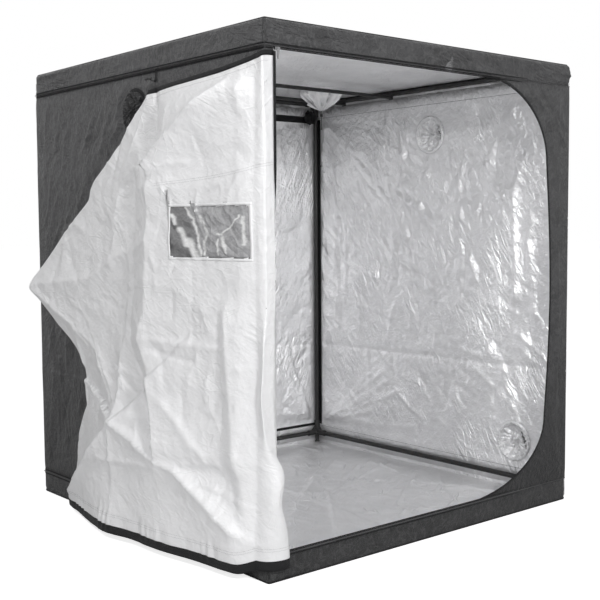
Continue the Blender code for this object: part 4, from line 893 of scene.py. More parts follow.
def doorway_side(heights):
    """The doorway's right edge at each height."""
    heights = np.asarray(heights, float)
    top_x, top_z = TOP_CORNER_MIDDLE
    foot_x, foot_z = FOOT_CORNER_MIDDLE
    up = np.clip((heights - top_z) / TOP_CORNER[1], 0.0, 1.0)
    down = np.clip((foot_z - heights) / FOOT_CORNER[1], 0.0, 1.0)
    middle = np.clip((heights - foot_z) / (top_z - foot_z), 0.0, 1.0)
    bow = DOORWAY_BOW * np.sin(math.pi * middle)
    head = top_x + TOP_CORNER[0] * np.sqrt(1.0 - up * up)
    foot = foot_x + FOOT_CORNER[0] * np.sqrt(1.0 - down * down)
    return np.where(up > 0.0, head, np.where(down > 0.0, foot, DOORWAY_RIGHT + bow))


def corner_arc(middle, size, outset, angles):
    """A round corner of the doorway as (x, z)."""
    return [(middle[0] + (size[0] + outset) * math.cos(math.radians(angle)),
             middle[1] + (size[1] + outset) * math.sin(math.radians(angle)))
            for angle in angles]


def doorway_path(outset, steps=40):
    """The doorway's edge as (x, z) from the top left round to the bottom left."""
    top_x, top_z = TOP_CORNER_MIDDLE
    foot_x, foot_z = FOOT_CORNER_MIDDLE
    points = [(DOORWAY_LEFT + share * (top_x - DOORWAY_LEFT), WALL_HEAD + outset)
              for share in np.linspace(0.0, 1.0, steps, endpoint=False)]
    points += corner_arc(TOP_CORNER_MIDDLE, TOP_CORNER, outset, np.linspace(90.0, 0.0, steps))
    for share in np.linspace(0.0, 1.0, steps)[1:-1]:
        points.append((DOORWAY_RIGHT + outset + DOORWAY_BOW * math.sin(math.pi * share),
                       top_z + (foot_z - top_z) * share))
    points += corner_arc(FOOT_CORNER_MIDDLE, FOOT_CORNER, outset, np.linspace(0.0, -90.0, steps))
    points += [(foot_x + share * (DOORWAY_LEFT - foot_x), WALL_FOOT - outset)
               for share in np.linspace(0.0, 1.0, steps)[1:]]
    return points


def make_jamb():
    """Cut the front panel with the doorway's round corners."""
    turn = np.linspace(0.0, math.pi, 220)
    heights = WALL_FOOT + (WALL_HEAD - WALL_FOOT) * (1.0 - np.cos(turn)) / 2.0
    side = doorway_side(heights)
    share = np.linspace(0.0, 1.0, 60) ** 1.1
    across = side[:, None] + (HALF - 0.0015 - side[:, None]) * share[None, :]
    up = np.repeat(heights[:, None], len(share), axis=1)
    out = add_folds(common_folds(across, up, 61) * 0.7, across, up, JAMB_FOLDS)
    out = out + corner_fan(across, up, (0.86, 0.13), (1.8, 3.0), 9, 0.40, 0.0040, 62)
    near = ramp(across - side[:, None], 0.004, 0.05)
    out = np.maximum(keep_clear(out, across, up), -0.0005) * near
    points = wall_points("y", -1.0, across, up, out)
    panel = sheet_mesh("jamb_cloth", points, np.stack([across, up], axis=-1), [BLACK, LINING],
                       turned=False)
    thicken(panel)
    wear(panel, "tent", "black_cloth", "front_jamb")


def make_hinge_panel():
    """Hang the narrow strip at the near corner; the door's lining is sewn over it."""
    line = np.linspace(-HALF + 0.0015, DOORWAY_LEFT, 9)
    across, up = np.meshgrid(line, np.linspace(WALL_FOOT, WALL_HEAD, 200))
    points = wall_points("y", -1.0, across, up, np.zeros_like(across))
    panel = sheet_mesh("hinge_strip", points, np.stack([across, up], axis=-1),
                       [BLACK, LINING], turned=False)
    thicken(panel)
    wear(panel, "tent", "black_cloth", "front_hinge_panel")


def skirt_loop(count, radius=PLAN_ROUND):
    """Points and outward directions round the tent's plan, with rounded corners."""
    points, away = [], []
    flat = HALF - radius
    for quarter in range(4):
        turn = math.pi / 2 * quarter
        for share in np.linspace(-flat, flat, count, endpoint=False):
            points.append((HALF * math.cos(turn) - share * math.sin(turn),
                           HALF * math.sin(turn) + share * math.cos(turn)))
            away.append((math.cos(turn), math.sin(turn)))
        for angle in np.linspace(turn, turn + math.pi / 2, 7, endpoint=False):
            ahead = turn + math.pi / 4
            corner = (flat * math.sqrt(2.0) * math.cos(ahead),
                      flat * math.sqrt(2.0) * math.sin(ahead))
            points.append((corner[0] + radius * math.cos(angle),
                           corner[1] + radius * math.sin(angle)))
            away.append((math.cos(angle), math.sin(angle)))
    return np.array(points), np.array(away)


def make_skirt(name, low, high, roll, seed, size, finishes):
    """Sew one band round the tent; its top or bottom edge rolls over the frame."""
    plan, away = skirt_loop(96)
    length = np.linspace(0.0, BAND_LENGTH, len(plan), endpoint=False)
    rows = [(height, 0.0) for height in np.linspace(low, high - max(roll, 0.0), 14)]
    if roll > 0.0:
        rows = rows[:-1] + [(high - roll * (1.0 - math.sin(t)), roll * (1.0 - math.cos(t)))
                            for t in np.linspace(0.0, math.pi / 2, 7)]
        rows.append((high, roll + ROLL_TAIL))
    else:
        rows = [(low - roll * (1.0 - math.sin(t)), -roll * (1.0 - math.cos(t)))
                for t in np.linspace(math.pi / 2, 0.0, 5)] + rows[1:]
    grid = []
    for height, inset in rows:
        along = np.stack([length, np.full_like(length, height)])
        lift = size * waves(along[0], along[1] * 2.2, seed, 0.34, 3)
        lift = lift + scattered_folds(along[0], along[1], seed + 1, 110,
                                      (0.0, BAND_LENGTH, low, high), 0.13, size * 1.2, 0.010,
                                      lean=0.1)
        edge = ramp(height, low, low + 0.02) * ramp(high - height, -0.004, 0.02)
        reach = np.maximum(lift, -0.0002) * edge - inset
        spot = plan + away * reach[:, None]
        grid.append(np.column_stack([spot, np.full(len(spot), height)]))
    grid = np.array(grid)
    if roll > 0.0:
        bumps = np.maximum(0.0030 * waves(length, length * 0.0, seed + 5, 0.30, 3), 0.0)
        grid[12:, :, 2] += bumps[None, :] * ramp(np.arange(12, len(rows)), 11.0, 17.0)[:, None]
    mapping = np.stack([np.repeat(length[None, :], len(rows), axis=0),
                        np.repeat(np.array([h for h, _ in rows])[:, None], len(length), axis=1)],
                       axis=-1)
    band = sheet_mesh(name, grid, mapping, finishes, loop=True, turned=False)
    thicken(band)
    return band


def make_roof():
    """Stretch the roof sheet over the frame, and sew on its band."""
    edge = tube("roof_edge_piping", [place for place, _ in loop_line(1.9985, -0.0095)], 0.0035,
                TAPE, sides=10, closed=True)
    sew(edge)
    band = make_skirt("roof_band", ROOF_BAND, TOP, 0.014, 71, 0.0055, [ROOF_CLOTH, LINING])
    wear(band, "tent", "black_cloth", "roof_cover")
    line = np.linspace(-HALF + 0.020, HALF - 0.020, 170)
    across, up = np.meshgrid(line, line)
    gap = np.hypot(across - ROOF_PORT[0], up - ROOF_PORT[1])
    lift = 0.0030 * waves(across, up, 72, 0.5, 2)
    lift = lift + scattered_folds(across, up, 73, 70, (-0.8, 0.8, -0.8, 0.8), 0.3, 0.0020, 0.010)
    fade = ramp(HALF - 0.02 - np.maximum(np.abs(across), np.abs(up)), 0.0, 0.05)
    lift = lift * fade * ramp(gap, ROOF_PORT_RADIUS + 0.01, ROOF_PORT_RADIUS + 0.06)
    lift = np.where(lift > 0.0, lift * 0.6, lift)
    points = np.stack([across, up, TOP - 0.0004 + lift], axis=-1)
    middle = (gap[1:, 1:] + gap[:-1, :-1]) / 2
    sheet = sheet_mesh("roof_sheet", points, np.stack([across, up], axis=-1), [BLACK, LINING],
                       middle < ROOF_PORT_RADIUS + 0.005)
    thicken(sheet)
    wear(sheet, "tent", "black_cloth")


def make_base():
    """Sew the base band, and lay the base sheet and the lining mat."""
    band = make_skirt("base_band", 0.0, BASE_BAND, -0.004, 81, 0.0030, [SHADED_BASE_CLOTH, LINING])
    wear(band, "tent", "black_cloth", "base_cover")
    line = np.linspace(-HALF + 0.004, HALF - 0.004, 40)
    across, up = np.meshgrid(line, line)
    points = np.stack([across, up, np.full_like(across, CLOTH)], axis=-1)
    sheet = sheet_mesh("base_sheet", points, np.stack([across, up], axis=-1), [LINING, BLACK])
    thicken(sheet)
    wear(sheet, "tent", "black_cloth")
    make_mat()


def make_mat():
    """Lay the lining mat, with its soft creases and its corners cut round the feet."""
    line = np.linspace(-0.8745, 0.8745, 220)
    across, up = np.meshgrid(line, line)
    lift = add_folds(0.0040 * waves(across, up, 91, 0.55, 2), across, up, MAT_FOLDS)
    lift = lift + scattered_folds(across, up, 92, 90, (-0.8, 0.8, -0.8, 0.8), 0.25, 0.0045,
                                  0.012)
    lift = lift + np.abs(scattered_folds(across, up, 93, 60, (-0.8, 0.7, -0.8, 0.7), 0.34,
                                         0.0090, 0.006))
    edge = HALF - 0.0055 - np.maximum(np.abs(across), np.abs(up))
    lift = np.maximum(lift, 0.0) * ramp(edge, 0.0, 0.05)
    points = np.stack([across, up, 0.0026 + lift], axis=-1)
    middle = (np.abs(across)[1:, 1:] + np.abs(across)[:-1, :-1]) / 2
    middle_up = (np.abs(up)[1:, 1:] + np.abs(up)[:-1, :-1]) / 2
    notch = (middle > 0.843) & (middle_up > 0.843)
    mat = sheet_mesh("lining_mat", points, np.stack([across, up], axis=-1), [MAT_LINING], notch)
    thicken(mat, 0.0010, inner=0)
    wear(mat, "tent", "reflective_lining", "floor_mat")


# Door

# The far edge as (z, y); how far the door stands off the wall, by height, at the y of STAND_AT;
# the near corner's edge as (z, x); the top edge as (y, z)
DOOR_EDGE = ((0.035, 0.475), (0.073, 0.472), (0.120, 0.462), (0.248, 0.428), (0.358, 0.396),
             (0.432, 0.359), (0.525, 0.302), (0.561, 0.317), (0.645, 0.331), (0.701, 0.364),
             (0.772, 0.425), (0.840, 0.535), (0.905, 0.620), (0.954, 0.680), (1.000, 0.740),
             (1.040, 0.738), (1.080, 0.700), (1.188, 0.580), (1.326, 0.400), (1.398, 0.281),
             (1.442, 0.261), (1.542, 0.128), (1.644, -0.002), (1.728, -0.096), (1.798, -0.200),
             (1.830, -0.208), (1.900, -0.210))
STAND_AT = (-0.880, -0.800, -0.714, -0.512, -0.361, -0.169, -0.010, 0.150, 0.388, 0.551, 0.820)
STAND = ((0.03, (0.000, 0.030, 0.052, 0.084, 0.115, 0.129, 0.151, 0.125, 0.053, 0.020, 0.020)),
         (0.30, (0.000, 0.022, 0.038, 0.062, 0.085, 0.100, 0.110, 0.100, 0.060, 0.045, 0.060)),
         (0.60, (0.000, 0.018, 0.030, 0.045, 0.060, 0.072, 0.075, 0.070, 0.055, 0.055, 0.070)),
         (1.00, (0.000, 0.018, 0.028, 0.040, 0.050, 0.058, 0.062, 0.066, 0.078, 0.088, 0.100)),
         (1.40, (0.000, 0.026, 0.034, 0.036, 0.044, 0.050, 0.054, 0.058, 0.060, 0.060, 0.060)),
         (1.80, (0.000, 0.014, 0.022, 0.032, 0.040, 0.045, 0.048, 0.050, 0.050, 0.050, 0.050)))
CORNER_EDGE = ((0.000, -0.796), (0.087, -0.796), (0.218, -0.811), (0.277, -0.829),
               (0.424, -0.822), (0.474, -0.852), (0.602, -0.886), (0.671, -0.893),
               (0.769, -0.884), (0.902, -0.873), (1.034, -0.846), (1.171, -0.836),
               (1.304, -0.852), (1.402, -0.851), (1.598, -0.862), (1.794, -0.872),
               (2.000, -0.874))
DOOR_TOP = ((-0.900, 1.890), (-0.880, 1.888), (-0.850, 1.880), (-0.706, 1.856), (-0.526, 1.840),
            (-0.372, 1.829), (-0.208, 1.814), (0.100, 1.812), (0.900, 1.812))
NOSE = 0.007
WRAP_LIMIT = -0.8850
ROLL_GAP = 0.0150
WINDOW = (-0.820, -0.400, 1.165, 1.355)
SLIT = ((-0.380, 1.414), (-0.392, 1.330), (-0.400, 1.270))
DOOR_FACETS = (
    (((-0.352, 0.391), (-0.315, 0.503), (-0.189, 0.678), (-0.090, 0.835), (-0.092, 0.942),
      (-0.108, 1.429), (-0.112, 1.600)),
     ((-0.366, 0.378), (-0.294, 0.678), (-0.212, 0.844), (-0.244, 0.950), (-0.262, 1.425),
      (-0.266, 1.600)), 0.058, 0.300, 0.36, 1.50),
    (((-0.874, 0.132), (-0.774, 0.214), (-0.680, 0.424), (-0.684, 0.624), (-0.665, 0.930),
      (-0.655, 1.050)),
     ((-0.874, 0.132), (-0.816, 0.223), (-0.760, 0.438), (-0.740, 0.632), (-0.709, 0.933),
      (-0.700, 1.050)), 0.024, 0.120, 0.12, 1.00),
    (((-0.257, 1.500), (-0.257, 1.900)), ((-0.233, 1.508), (-0.706, 1.792), (-0.950, 1.850)),
     0.080, 0.070, 1.44, 1.80),
)
DOOR_FOLDS = (
    (((-0.182, 1.435), (-0.143, 1.587)), 0.014, 0.050, 0.030),
    (((-0.042, 0.494), (-0.029, 0.509), (-0.038, 0.776)), 0.030, 0.045, 0.140),
    (((0.429, 0.105), (-0.042, 0.494), (-0.366, 0.378), (-0.467, 0.356), (-0.868, 0.130)),
     0.064, 0.050, 0.240),
    (((0.429, 0.105), (-0.042, 0.494), (-0.366, 0.378), (-0.467, 0.356), (-0.868, 0.130)),
     0.009, 0.012, 0.012),
    (((-0.233, 1.508), (-0.706, 1.792)), 0.010, 0.012, 0.012),
    (((-0.257, 1.500), (-0.257, 1.800)), -0.010, 0.010, 0.014),
    (((0.074, 0.324), (-0.365, 0.354)), 0.010, 0.012, 0.012),
    (((-0.491, 0.384), (-0.667, 0.411)), 0.010, 0.012, 0.012),
    (((-0.249, 0.842), (-0.682, 0.833)), 0.010, 0.016, 0.016),
    (((-0.277, 0.805), (-0.527, 0.774)), -0.009, 0.012, 0.012),
    (((-0.386, 0.605), (-0.597, 0.425)), 0.014, 0.020, 0.040),
    (((0.740, 1.000), (0.200, 0.760), (0.050, 0.560)), 0.020, 0.050, 0.050),
    (((0.720, 1.020), (0.250, 1.060), (-0.020, 1.180)), 0.016, 0.035, 0.050),
    (((-0.210, 1.800), (0.020, 1.420), (0.080, 1.150)), 0.012, 0.045, 0.045),
)


def curve(value, knots):
    """A smooth line through knots of (place, height)."""
    place, height = np.array(knots, float).T
    slope = np.gradient(height, place)
    index = np.clip(np.searchsorted(place, value) - 1, 0, len(place) - 2)
    gap = place[index + 1] - place[index]
    share = np.clip((value - place[index]) / gap, 0.0, 1.0)
    back = 1.0 - share
    return ((1.0 + 2.0 * share) * back ** 2 * height[index]
            + share * back ** 2 * gap * slope[index]
            + share ** 2 * (3.0 - 2.0 * share) * height[index + 1]
            - share ** 2 * back * gap * slope[index + 1])


def door_folds(across, up):
    """Folds of the open door; a crest stands away from the left wall."""
    out = add_folds(np.zeros_like(across), across, up, DOOR_FOLDS)
    for words in DOOR_FACETS:
        out = out + facet(across, up, *words)
    out = out + 0.0050 * waves(across, up, 5, 0.42, 3)
    out = out + scattered_folds(across, up, 6, 90, (-0.8, 0.6, 0.1, 1.75), 0.20, 0.0065, 0.014)
    out = out + scattered_folds(across, up, 7, 150, (-0.8, 0.7, 0.45, 1.75), 0.11, 0.0055, 0.008)
    pucker = np.sin(across * 95.0 + 4.0 * np.sin(across * 21.0)) * np.sin(across * 13.0 + 1.0)
    out = out + 0.0045 * pucker * np.exp(-((up - 0.085) / 0.035) ** 2)
    return out * ramp(across, -0.87, -0.76)


def door_stand(across, up):
    """How far the open door stands off the left wall before its folds."""
    levels = np.array([curve(across, list(zip(STAND_AT, line))) for _, line in STAND])
    heights = [height for height, _ in STAND]
    total = levels[0] * (np.asarray(up) < heights[0])
    for index in range(len(heights) - 1):
        share = (up - heights[index]) / (heights[index + 1] - heights[index])
        inside = (share >= 0.0) & (share < 1.0)
        share = ramp(share, 0.0, 1.0)
        total = total + inside * (levels[index] * (1.0 - share) + levels[index + 1] * share)
    return total + levels[-1] * (np.asarray(up) >= heights[-1])


def door_level(across, up):
    """The x of the open door's lining."""
    return HINGE - np.maximum(door_stand(across, up) + door_folds(across, up), 0.0)


def door_height(across, share):
    """The z of a place at a share of the door's height."""
    foot = 0.030 + 0.030 * (1.0 - ramp(across, -0.88, -0.78))
    return foot + share * (curve(across, DOOR_TOP) - foot)


def door_grid():
    """Rows of the door's points, from its seam round the near corner to its turned edge."""
    shares = np.linspace(0.0, 1.0, 205)
    wrap = np.linspace(0.0, 1.0, 18)[:-1]
    fixed = np.arange(-0.84, -0.352, 0.0075)
    grid, mapping = [], []
    for share in shares:
        edge = float(curve(0.035 + share * 1.777, DOOR_EDGE))
        face = np.concatenate([fixed, -0.35 + (edge - NOSE + 0.35) * np.linspace(0, 1, 118)])
        height = door_height(face, share)
        level = door_level(face, height)
        low = float(door_height(-0.86, share))
        curl = 1.0 - float(ramp(low, 0.35, 0.52))
        corner = float(curve(low, CORNER_EDGE))
        spots = ((-0.842, -0.8826), (-0.842 + 2.25 * (corner + 0.842), -0.885 - 0.045 * curl),
                 (-0.893 - 0.01 * curl, -0.898 - 0.05 * curl), (float(level[0]), -0.84))
        row = []
        for run in wrap:
            rest = 1.0 - run
            weights = (rest ** 3, 3 * rest ** 2 * run, 3 * rest * run ** 2, run ** 3)
            x = sum(weight * spot[0] for weight, spot in zip(weights, spots))
            y = sum(weight * spot[1] for weight, spot in zip(weights, spots))
            if x > WRAP_LIMIT and y > WRAP_LIMIT:
                y = WRAP_LIMIT
            row.append((x, y, float(door_height(-0.88 + 0.04 * run, share))))
        row += list(zip(level, face, height))
        turn = level[-1] + NOSE
        for angle in np.linspace(0.0, math.pi, 9)[1:]:
            row.append((turn - NOSE * math.cos(angle), edge - NOSE + NOSE * math.sin(angle),
                        height[-1]))
        back = 0.060 + 0.040 * math.sin(share * 9.0)
        for run in np.linspace(0.0, 1.0, 8)[1:]:
            y = edge - NOSE - back * run
            row.append((min(turn + NOSE + 0.004 * run, HINGE - 0.004), y,
                        float(door_height(y, share))))
        grid.append(row)
        steps = np.linalg.norm(np.diff(np.array(row), axis=0), axis=1)
        mapping.append(np.column_stack([np.concatenate([[0.0], np.cumsum(steps)]),
                                        np.array(row)[:, 2]]))
    return np.array(grid), np.array(mapping)


def bend_at_hinge(thing, slot, *nodes):
    """Bake a piece of the door into place, and hide the nodes it stands for."""
    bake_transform(thing)
    if nodes:
        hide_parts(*nodes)


def make_door():
    """Hang the open door: lining outwards, black side to the wall, a hole for the window."""
    points, mapping = door_grid()
    middle = (points[1:, 1:] + points[:-1, :-1]) / 2
    columns = points.shape[1] - 1
    front = np.arange(columns)[None, :] < columns - 16
    hole = ((middle[..., 1] > WINDOW[0]) & (middle[..., 1] < WINDOW[1]) & front
            & (middle[..., 2] > WINDOW[2]) & (middle[..., 2] < WINDOW[3]))
    door = sheet_mesh("open_door", points, mapping, [DOOR_LINING, BLACK], hole, turned=True)
    spots = np.empty(len(door.data.vertices) * 3)
    door.data.vertices.foreach_get("co", spots)
    spots = spots.reshape(-1, 3)
    mark(door, "shade", 0.9 * fold(spots[:, 1], spots[:, 2], SLIT, 1.0, 0.006, 0.006, sharp=2.0)
         * (spots[:, 0] < HINGE - 0.02))
    thicken(door)
    apply_modifiers(door)
    bend_at_hinge(door, "reflective_lining", "door_flap")
    return points


def door_strip(name, points, finish, first, last):
    """Sew a strip over some rows of the door, a little in front of its lining."""
    part = points[first:last, :-15].copy()
    after = np.gradient(part, axis=1)
    plan = np.stack([-after[..., 1], after[..., 0]], axis=-1)
    plan = plan / np.maximum(np.linalg.norm(plan, axis=-1, keepdims=True), 1e-9)
    part[..., :2] += plan * STRIP_LIFT
    mapping = np.stack([np.cumsum(np.hypot(after[..., 0], after[..., 1]), axis=1),
                        part[..., 2]], axis=-1)
    strip = sheet_mesh(name, part, mapping, [finish], turned=True)
    thicken(strip, STRIP_THICK, inner=0)
    apply_modifiers(strip)
    bend_at_hinge(strip, "black_webbing")


def apply_modifiers(thing):
    """Turn a piece with its modifiers into a plain mesh."""
    view = bpy.context.evaluated_depsgraph_get()
    mesh = bpy.data.meshes.new_from_object(thing.evaluated_get(view))
    mesh.name = thing.name
    thing.modifiers.clear()
    thing.data = mesh


def door_patch(name, area, finish, lift, count, thickness, slot, nodes=(), wave=0.0):
    """Lay a piece over part of the door's face, following its folds."""
    wide, tall = count
    across, up = np.meshgrid(np.linspace(area[0], area[1], wide),
                             np.linspace(area[2], area[3], tall))
    level = door_level(across, up) - lift
    if wave:
        level = level - wave * waves(across, up, 17, 0.10, 3)
        level = level - scattered_folds(across, up, 18, 46, (area[0], area[1] - 0.05, area[2],
                                                             area[3]), 0.09, wave * 1.2, 0.007,
                                        lean=0.7)
    points = np.stack([level, across, up], axis=-1)
    patch = sheet_mesh(name, points, np.stack([across, up], axis=-1), [finish], turned=True)
    if wave:
        u = (WINDOW[1] - across) / (WINDOW[1] - WINDOW[0])
        v = (up - WINDOW[2]) / (WINDOW[3] - WINDOW[2])
        wander = 0.012 * waves(u, v, 19, 0.14, 3)
        glare = sum(fold(u + wander, v, line, 1.0, width, width, sharp=3.0)
                    for line, width in PANE_GLARE)
        mark(patch, "glare", 0.85 * glare)
        dark = 0.52 * (1.0 - ramp(u + wander * 3.0 - 0.22 * (1.0 - v), 0.16, 0.24))
        rim = fold(u, v, ((-0.02, 0.0), (1.0, 0.0)), 0.6, 0.03, 0.03, sharp=2.0)
        mark(patch, "shade", np.maximum(dark, rim) * (1.0 - np.clip(glare, 0.0, 1.0)))
    thicken(patch, thickness, inner=0)
    wear(patch, "door", slot, *nodes)
    return patch


PANE_GLARE = (
    (((0.02, 0.84), (0.06, 0.66)), 0.026), (((0.12, 0.56), (0.17, 0.40), (0.22, 0.24)), 0.040),
    (((0.24, 0.34), (0.30, 0.14), (0.33, 0.02)), 0.046),
    (((0.18, 0.98), (0.27, 0.76), (0.33, 0.52), (0.39, 0.04)), 0.018),
    (((0.37, 0.80), (0.44, 0.62), (0.49, 0.44), (0.43, 0.30), (0.44, 0.06)), 0.020),
    (((0.62, 0.46), (0.67, 0.45)), 0.018), (((0.68, 0.40), (0.72, 0.10)), 0.020),
    (((0.62, 0.36), (0.62, 0.06)), 0.012), (((0.68, 0.48), (0.80, 0.62), (0.90, 0.82)), 0.012),
    (((0.93, 0.78), (0.94, 0.40), (0.93, 0.26)), 0.020),
)


def make_window():
    """Set the clear pane in its hole, bound all round, with the cover rolled up above."""
    low_y, high_y, low_z, high_z = WINDOW
    edge = 0.012
    pane = door_patch("window_pane", (low_y - edge, high_y + edge, low_z - edge, high_z + edge),
                      VINYL, -0.0022, (200, 100), 0.0005, "clear_vinyl", ["door_window_pane"],
                      0.0030)
    width = 0.010
    for name, area, count in (
            ("window_binding_low", (low_y - width, high_y + width, low_z - width, low_z), (80, 3)),
            ("window_binding_high", (low_y - width, high_y + width, high_z, high_z + width),
             (80, 3)),
            ("window_binding_near", (low_y - width, low_y, low_z, high_z), (3, 40)),
            ("window_binding_far", (high_y, high_y + width, low_z, high_z), (3, 40))):
        door_patch(name, area, DOOR_LINING, 0.0012, count, 0.0012, "reflective_lining")
    make_window_cover()


def make_window_cover():
    """Roll the window's cover up behind the door and tie it with two bands."""
    low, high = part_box("window_cover_roll")
    length = high.y - low.y
    radius = 0.0078
    height = low.z + radius
    turns, steps = 3.2, 90
    places = np.linspace(0.0, 1.0, 40)
    behind = door_level(low.y + length * places, np.full(40, height)) + ROLL_GAP
    points, mapping = [], []
    for step in range(steps + 6):
        share = min(step / (steps - 1), 1.0)
        angle = math.tau * (turns * share - 0.20)
        reach = radius * (0.30 + 0.66 * share) * (1.0 + 0.03 * np.sin(places * 21.0 + angle))
        y = low.y + length * places + 0.0015 * math.sin(angle * 1.3)
        rise = (high.z - height) * max(step - steps + 1, 0) / 6.0
        points.append(np.column_stack([behind + reach * math.sin(angle), y,
                                       height + reach * math.cos(angle) + rise]))
        mapping.append(np.column_stack([low.y + length * places,
                                        np.full(40, radius * angle * 0.6 + rise)]))
    roll = sheet_mesh("rolled_window_cover", np.array(points), np.array(mapping), [BLACK])
    thicken(roll, 0.0005, inner=0)
    wear(roll, "door", "black_cloth", "window_cover_roll")
    for name, node in (("window_cover_band_near", "window_cover_tie_near"),
                       ("window_cover_band_far", "window_cover_tie_far")):
        first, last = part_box(node)
        centre = (first + last) / 2
        centre.x = float(door_level(centre.y, centre.z)) + ROLL_GAP + 0.0010
        centre.z = height
        reach = radius + 0.0010
        path = [(centre.x + reach * math.cos(t), centre.y, centre.z + reach * math.sin(t))
                for t in np.linspace(0.0, math.tau, 36, endpoint=False)]
        band = tube(name, path, (last.y - first.y) / 2, WEBBING, sides=10, closed=True,
                    flat=0.0012 / (last.y - first.y), up=(0.0, 1.0, 0.0))
        sew(band, node, body="door")


def sew(thing, *nodes, body="tent", slot="black_webbing"):
    """Turn a closed piece's faces outwards, and say what it moves with and stands for."""
    shape = bmesh.new()
    shape.from_mesh(thing.data)
    bmesh.ops.recalc_face_normals(shape, faces=shape.faces)
    shape.to_mesh(thing.data)
    shape.free()
    wear(thing, body, slot, *nodes)


# Ports

def place_local(spots, centre, axis, sign):
    """Turn (u, v, out) spots about a port into places in the tent."""
    u, v, out = spots[..., 0], spots[..., 1], spots[..., 2]
    if axis == "x":
        return np.stack([sign * (HALF + out), centre[0] + u, centre[1] + v], axis=-1)
    return np.stack([centre[0] + u, centre[1] + v, TOP - 0.0004 + out], axis=-1)


def port_sleeve(name, node, centre, axis, sign, seed, creases):
    """Draw a sleeve shut: a crumpled cup of cloth with pleats, creases and a tight throat."""
    radius = PORT_RADIUS
    turn = np.linspace(0.0, math.tau, 150, endpoint=False)
    rows = [(radius + 0.015, -0.0024, 0.0), (radius + 0.002, -0.0024, 0.0),
            (radius - 0.0005, -0.0014, 0.0), (radius - 0.0010, 0.0010, 0.0)]
    for share in np.linspace(0.03, 1.0, 40):
        bend = share * math.pi / 2
        rows.append((0.003 + (radius - 0.004) * math.cos(bend) ** 0.80,
                     0.022 * math.sin(bend) ** 0.70, share))
    rows += [(0.0040, 0.0240, 1.2), (0.0045, 0.0265, 1.3), (0.0030, 0.0285, 1.4),
             (0.0004, 0.0292, 1.5)]
    reach, out, share = np.array(rows).T[:, :, None]
    soft = ramp(share, 0.0, 0.25) * (1.0 - ramp(share, 0.94, 1.0))
    pleat = np.sin(15 * turn + seed + 1.5 * np.sin(2 * turn)) + 0.7 * np.sin(7 * turn + seed)
    u = reach * np.cos(turn)[None, :]
    v = reach * np.sin(turn)[None, :]
    lift = 0.0080 * waves(u, v, seed, 0.055, 3)
    lift = lift + scattered_folds(u, v, seed + 1, 26, (-0.07, 0.05, -0.06, 0.06), 0.05,
                                  0.0090, 0.005)
    lift = add_folds(lift, u, v, creases)
    swell = 1.0 + 0.045 * pleat * soft
    rise = np.maximum(out + (lift + 0.0020 * pleat) * soft, out * 0.15 - 0.0024)
    grid = np.stack([u * swell, v * swell, np.minimum(rise, 0.052)], axis=-1)
    mapping = np.stack([np.broadcast_to(radius * turn, u.shape),
                        np.broadcast_to(radius * share, u.shape)], axis=-1)
    points = place_local(grid, centre, axis, sign)
    sleeve = sheet_mesh(name, points, mapping, [BLACK, FOIL], loop=True)
    shade = sum(fold(u, v, line, 1.0, 0.0042, 0.0042, sharp=3.0) for line, *_ in creases)
    mark(sleeve, "shade", shade * soft)
    turn_out(sleeve, axis, sign, 1.0)
    thicken(sleeve, 0.0010)
    wear(sleeve, "tent", "black_cloth", node)
    lining_ring(name.replace("sleeve", "lining"), centre, axis, sign, seed)


def lining_ring(name, centre, axis, sign, seed):
    """Roll the lining round the mouth of a port inside the tent, puckered by its stitches."""
    turn = np.linspace(0.0, math.tau, 160, endpoint=False)
    reach = PORT_RADIUS + 0.0065 + 0.0010 * np.sin(19 * turn + seed)
    size = 0.0058 + 0.0009 * np.sin(27 * turn) + 0.0008 * np.sin(11 * turn + seed)
    spots = np.column_stack([reach * np.cos(turn), reach * np.sin(turn),
                             np.full(len(turn), -0.0075)])
    path = [tuple(spot) for spot in place_local(spots, centre, axis, sign)]
    ring = tube(name, path, list(size), FOIL, sides=12, closed=True, flat=0.75,
                up=(1.0, 0.0, 0.0) if axis == "x" else (0.0, 0.0, 1.0))
    sew(ring, slot="reflective_lining")


def turn_out(thing, axis, sign, depth):
    """Make a sleeve's faces look out of the tent, or down from the roof."""
    mesh = thing.data
    normals = np.empty(len(mesh.polygons) * 3)
    mesh.polygons.foreach_get("normal", normals)
    areas = np.empty(len(mesh.polygons))
    mesh.polygons.foreach_get("area", areas)
    column = 0 if axis == "x" else 2
    facing = float(np.sum(normals.reshape(-1, 3)[:, column] * areas))
    wanted = sign if axis == "x" else (1.0 if depth > 0 else -1.0)
    if facing * wanted < 0.0:
        mesh.flip_normals()


def port_ring(name, node, centre, axis, sign, radius):
    """Sew a flat ring round a port on the tent's outer side."""
    out = 0.0010
    path = []
    for angle in np.linspace(0.0, math.tau, 90, endpoint=False):
        u, v = (radius + 0.0070) * math.cos(angle), (radius + 0.0070) * math.sin(angle)
        spot = np.array([[u, v, out]])
        path.append(tuple(place_local(spot, centre, axis, sign)[0]))
    away = (1.0, 0.0, 0.0) if axis == "x" else (0.0, 0.0, 1.0)
    ring = tube(name, path, 0.0078, TAPE, sides=12, closed=True, flat=0.13, up=away)
    sew(ring, node)


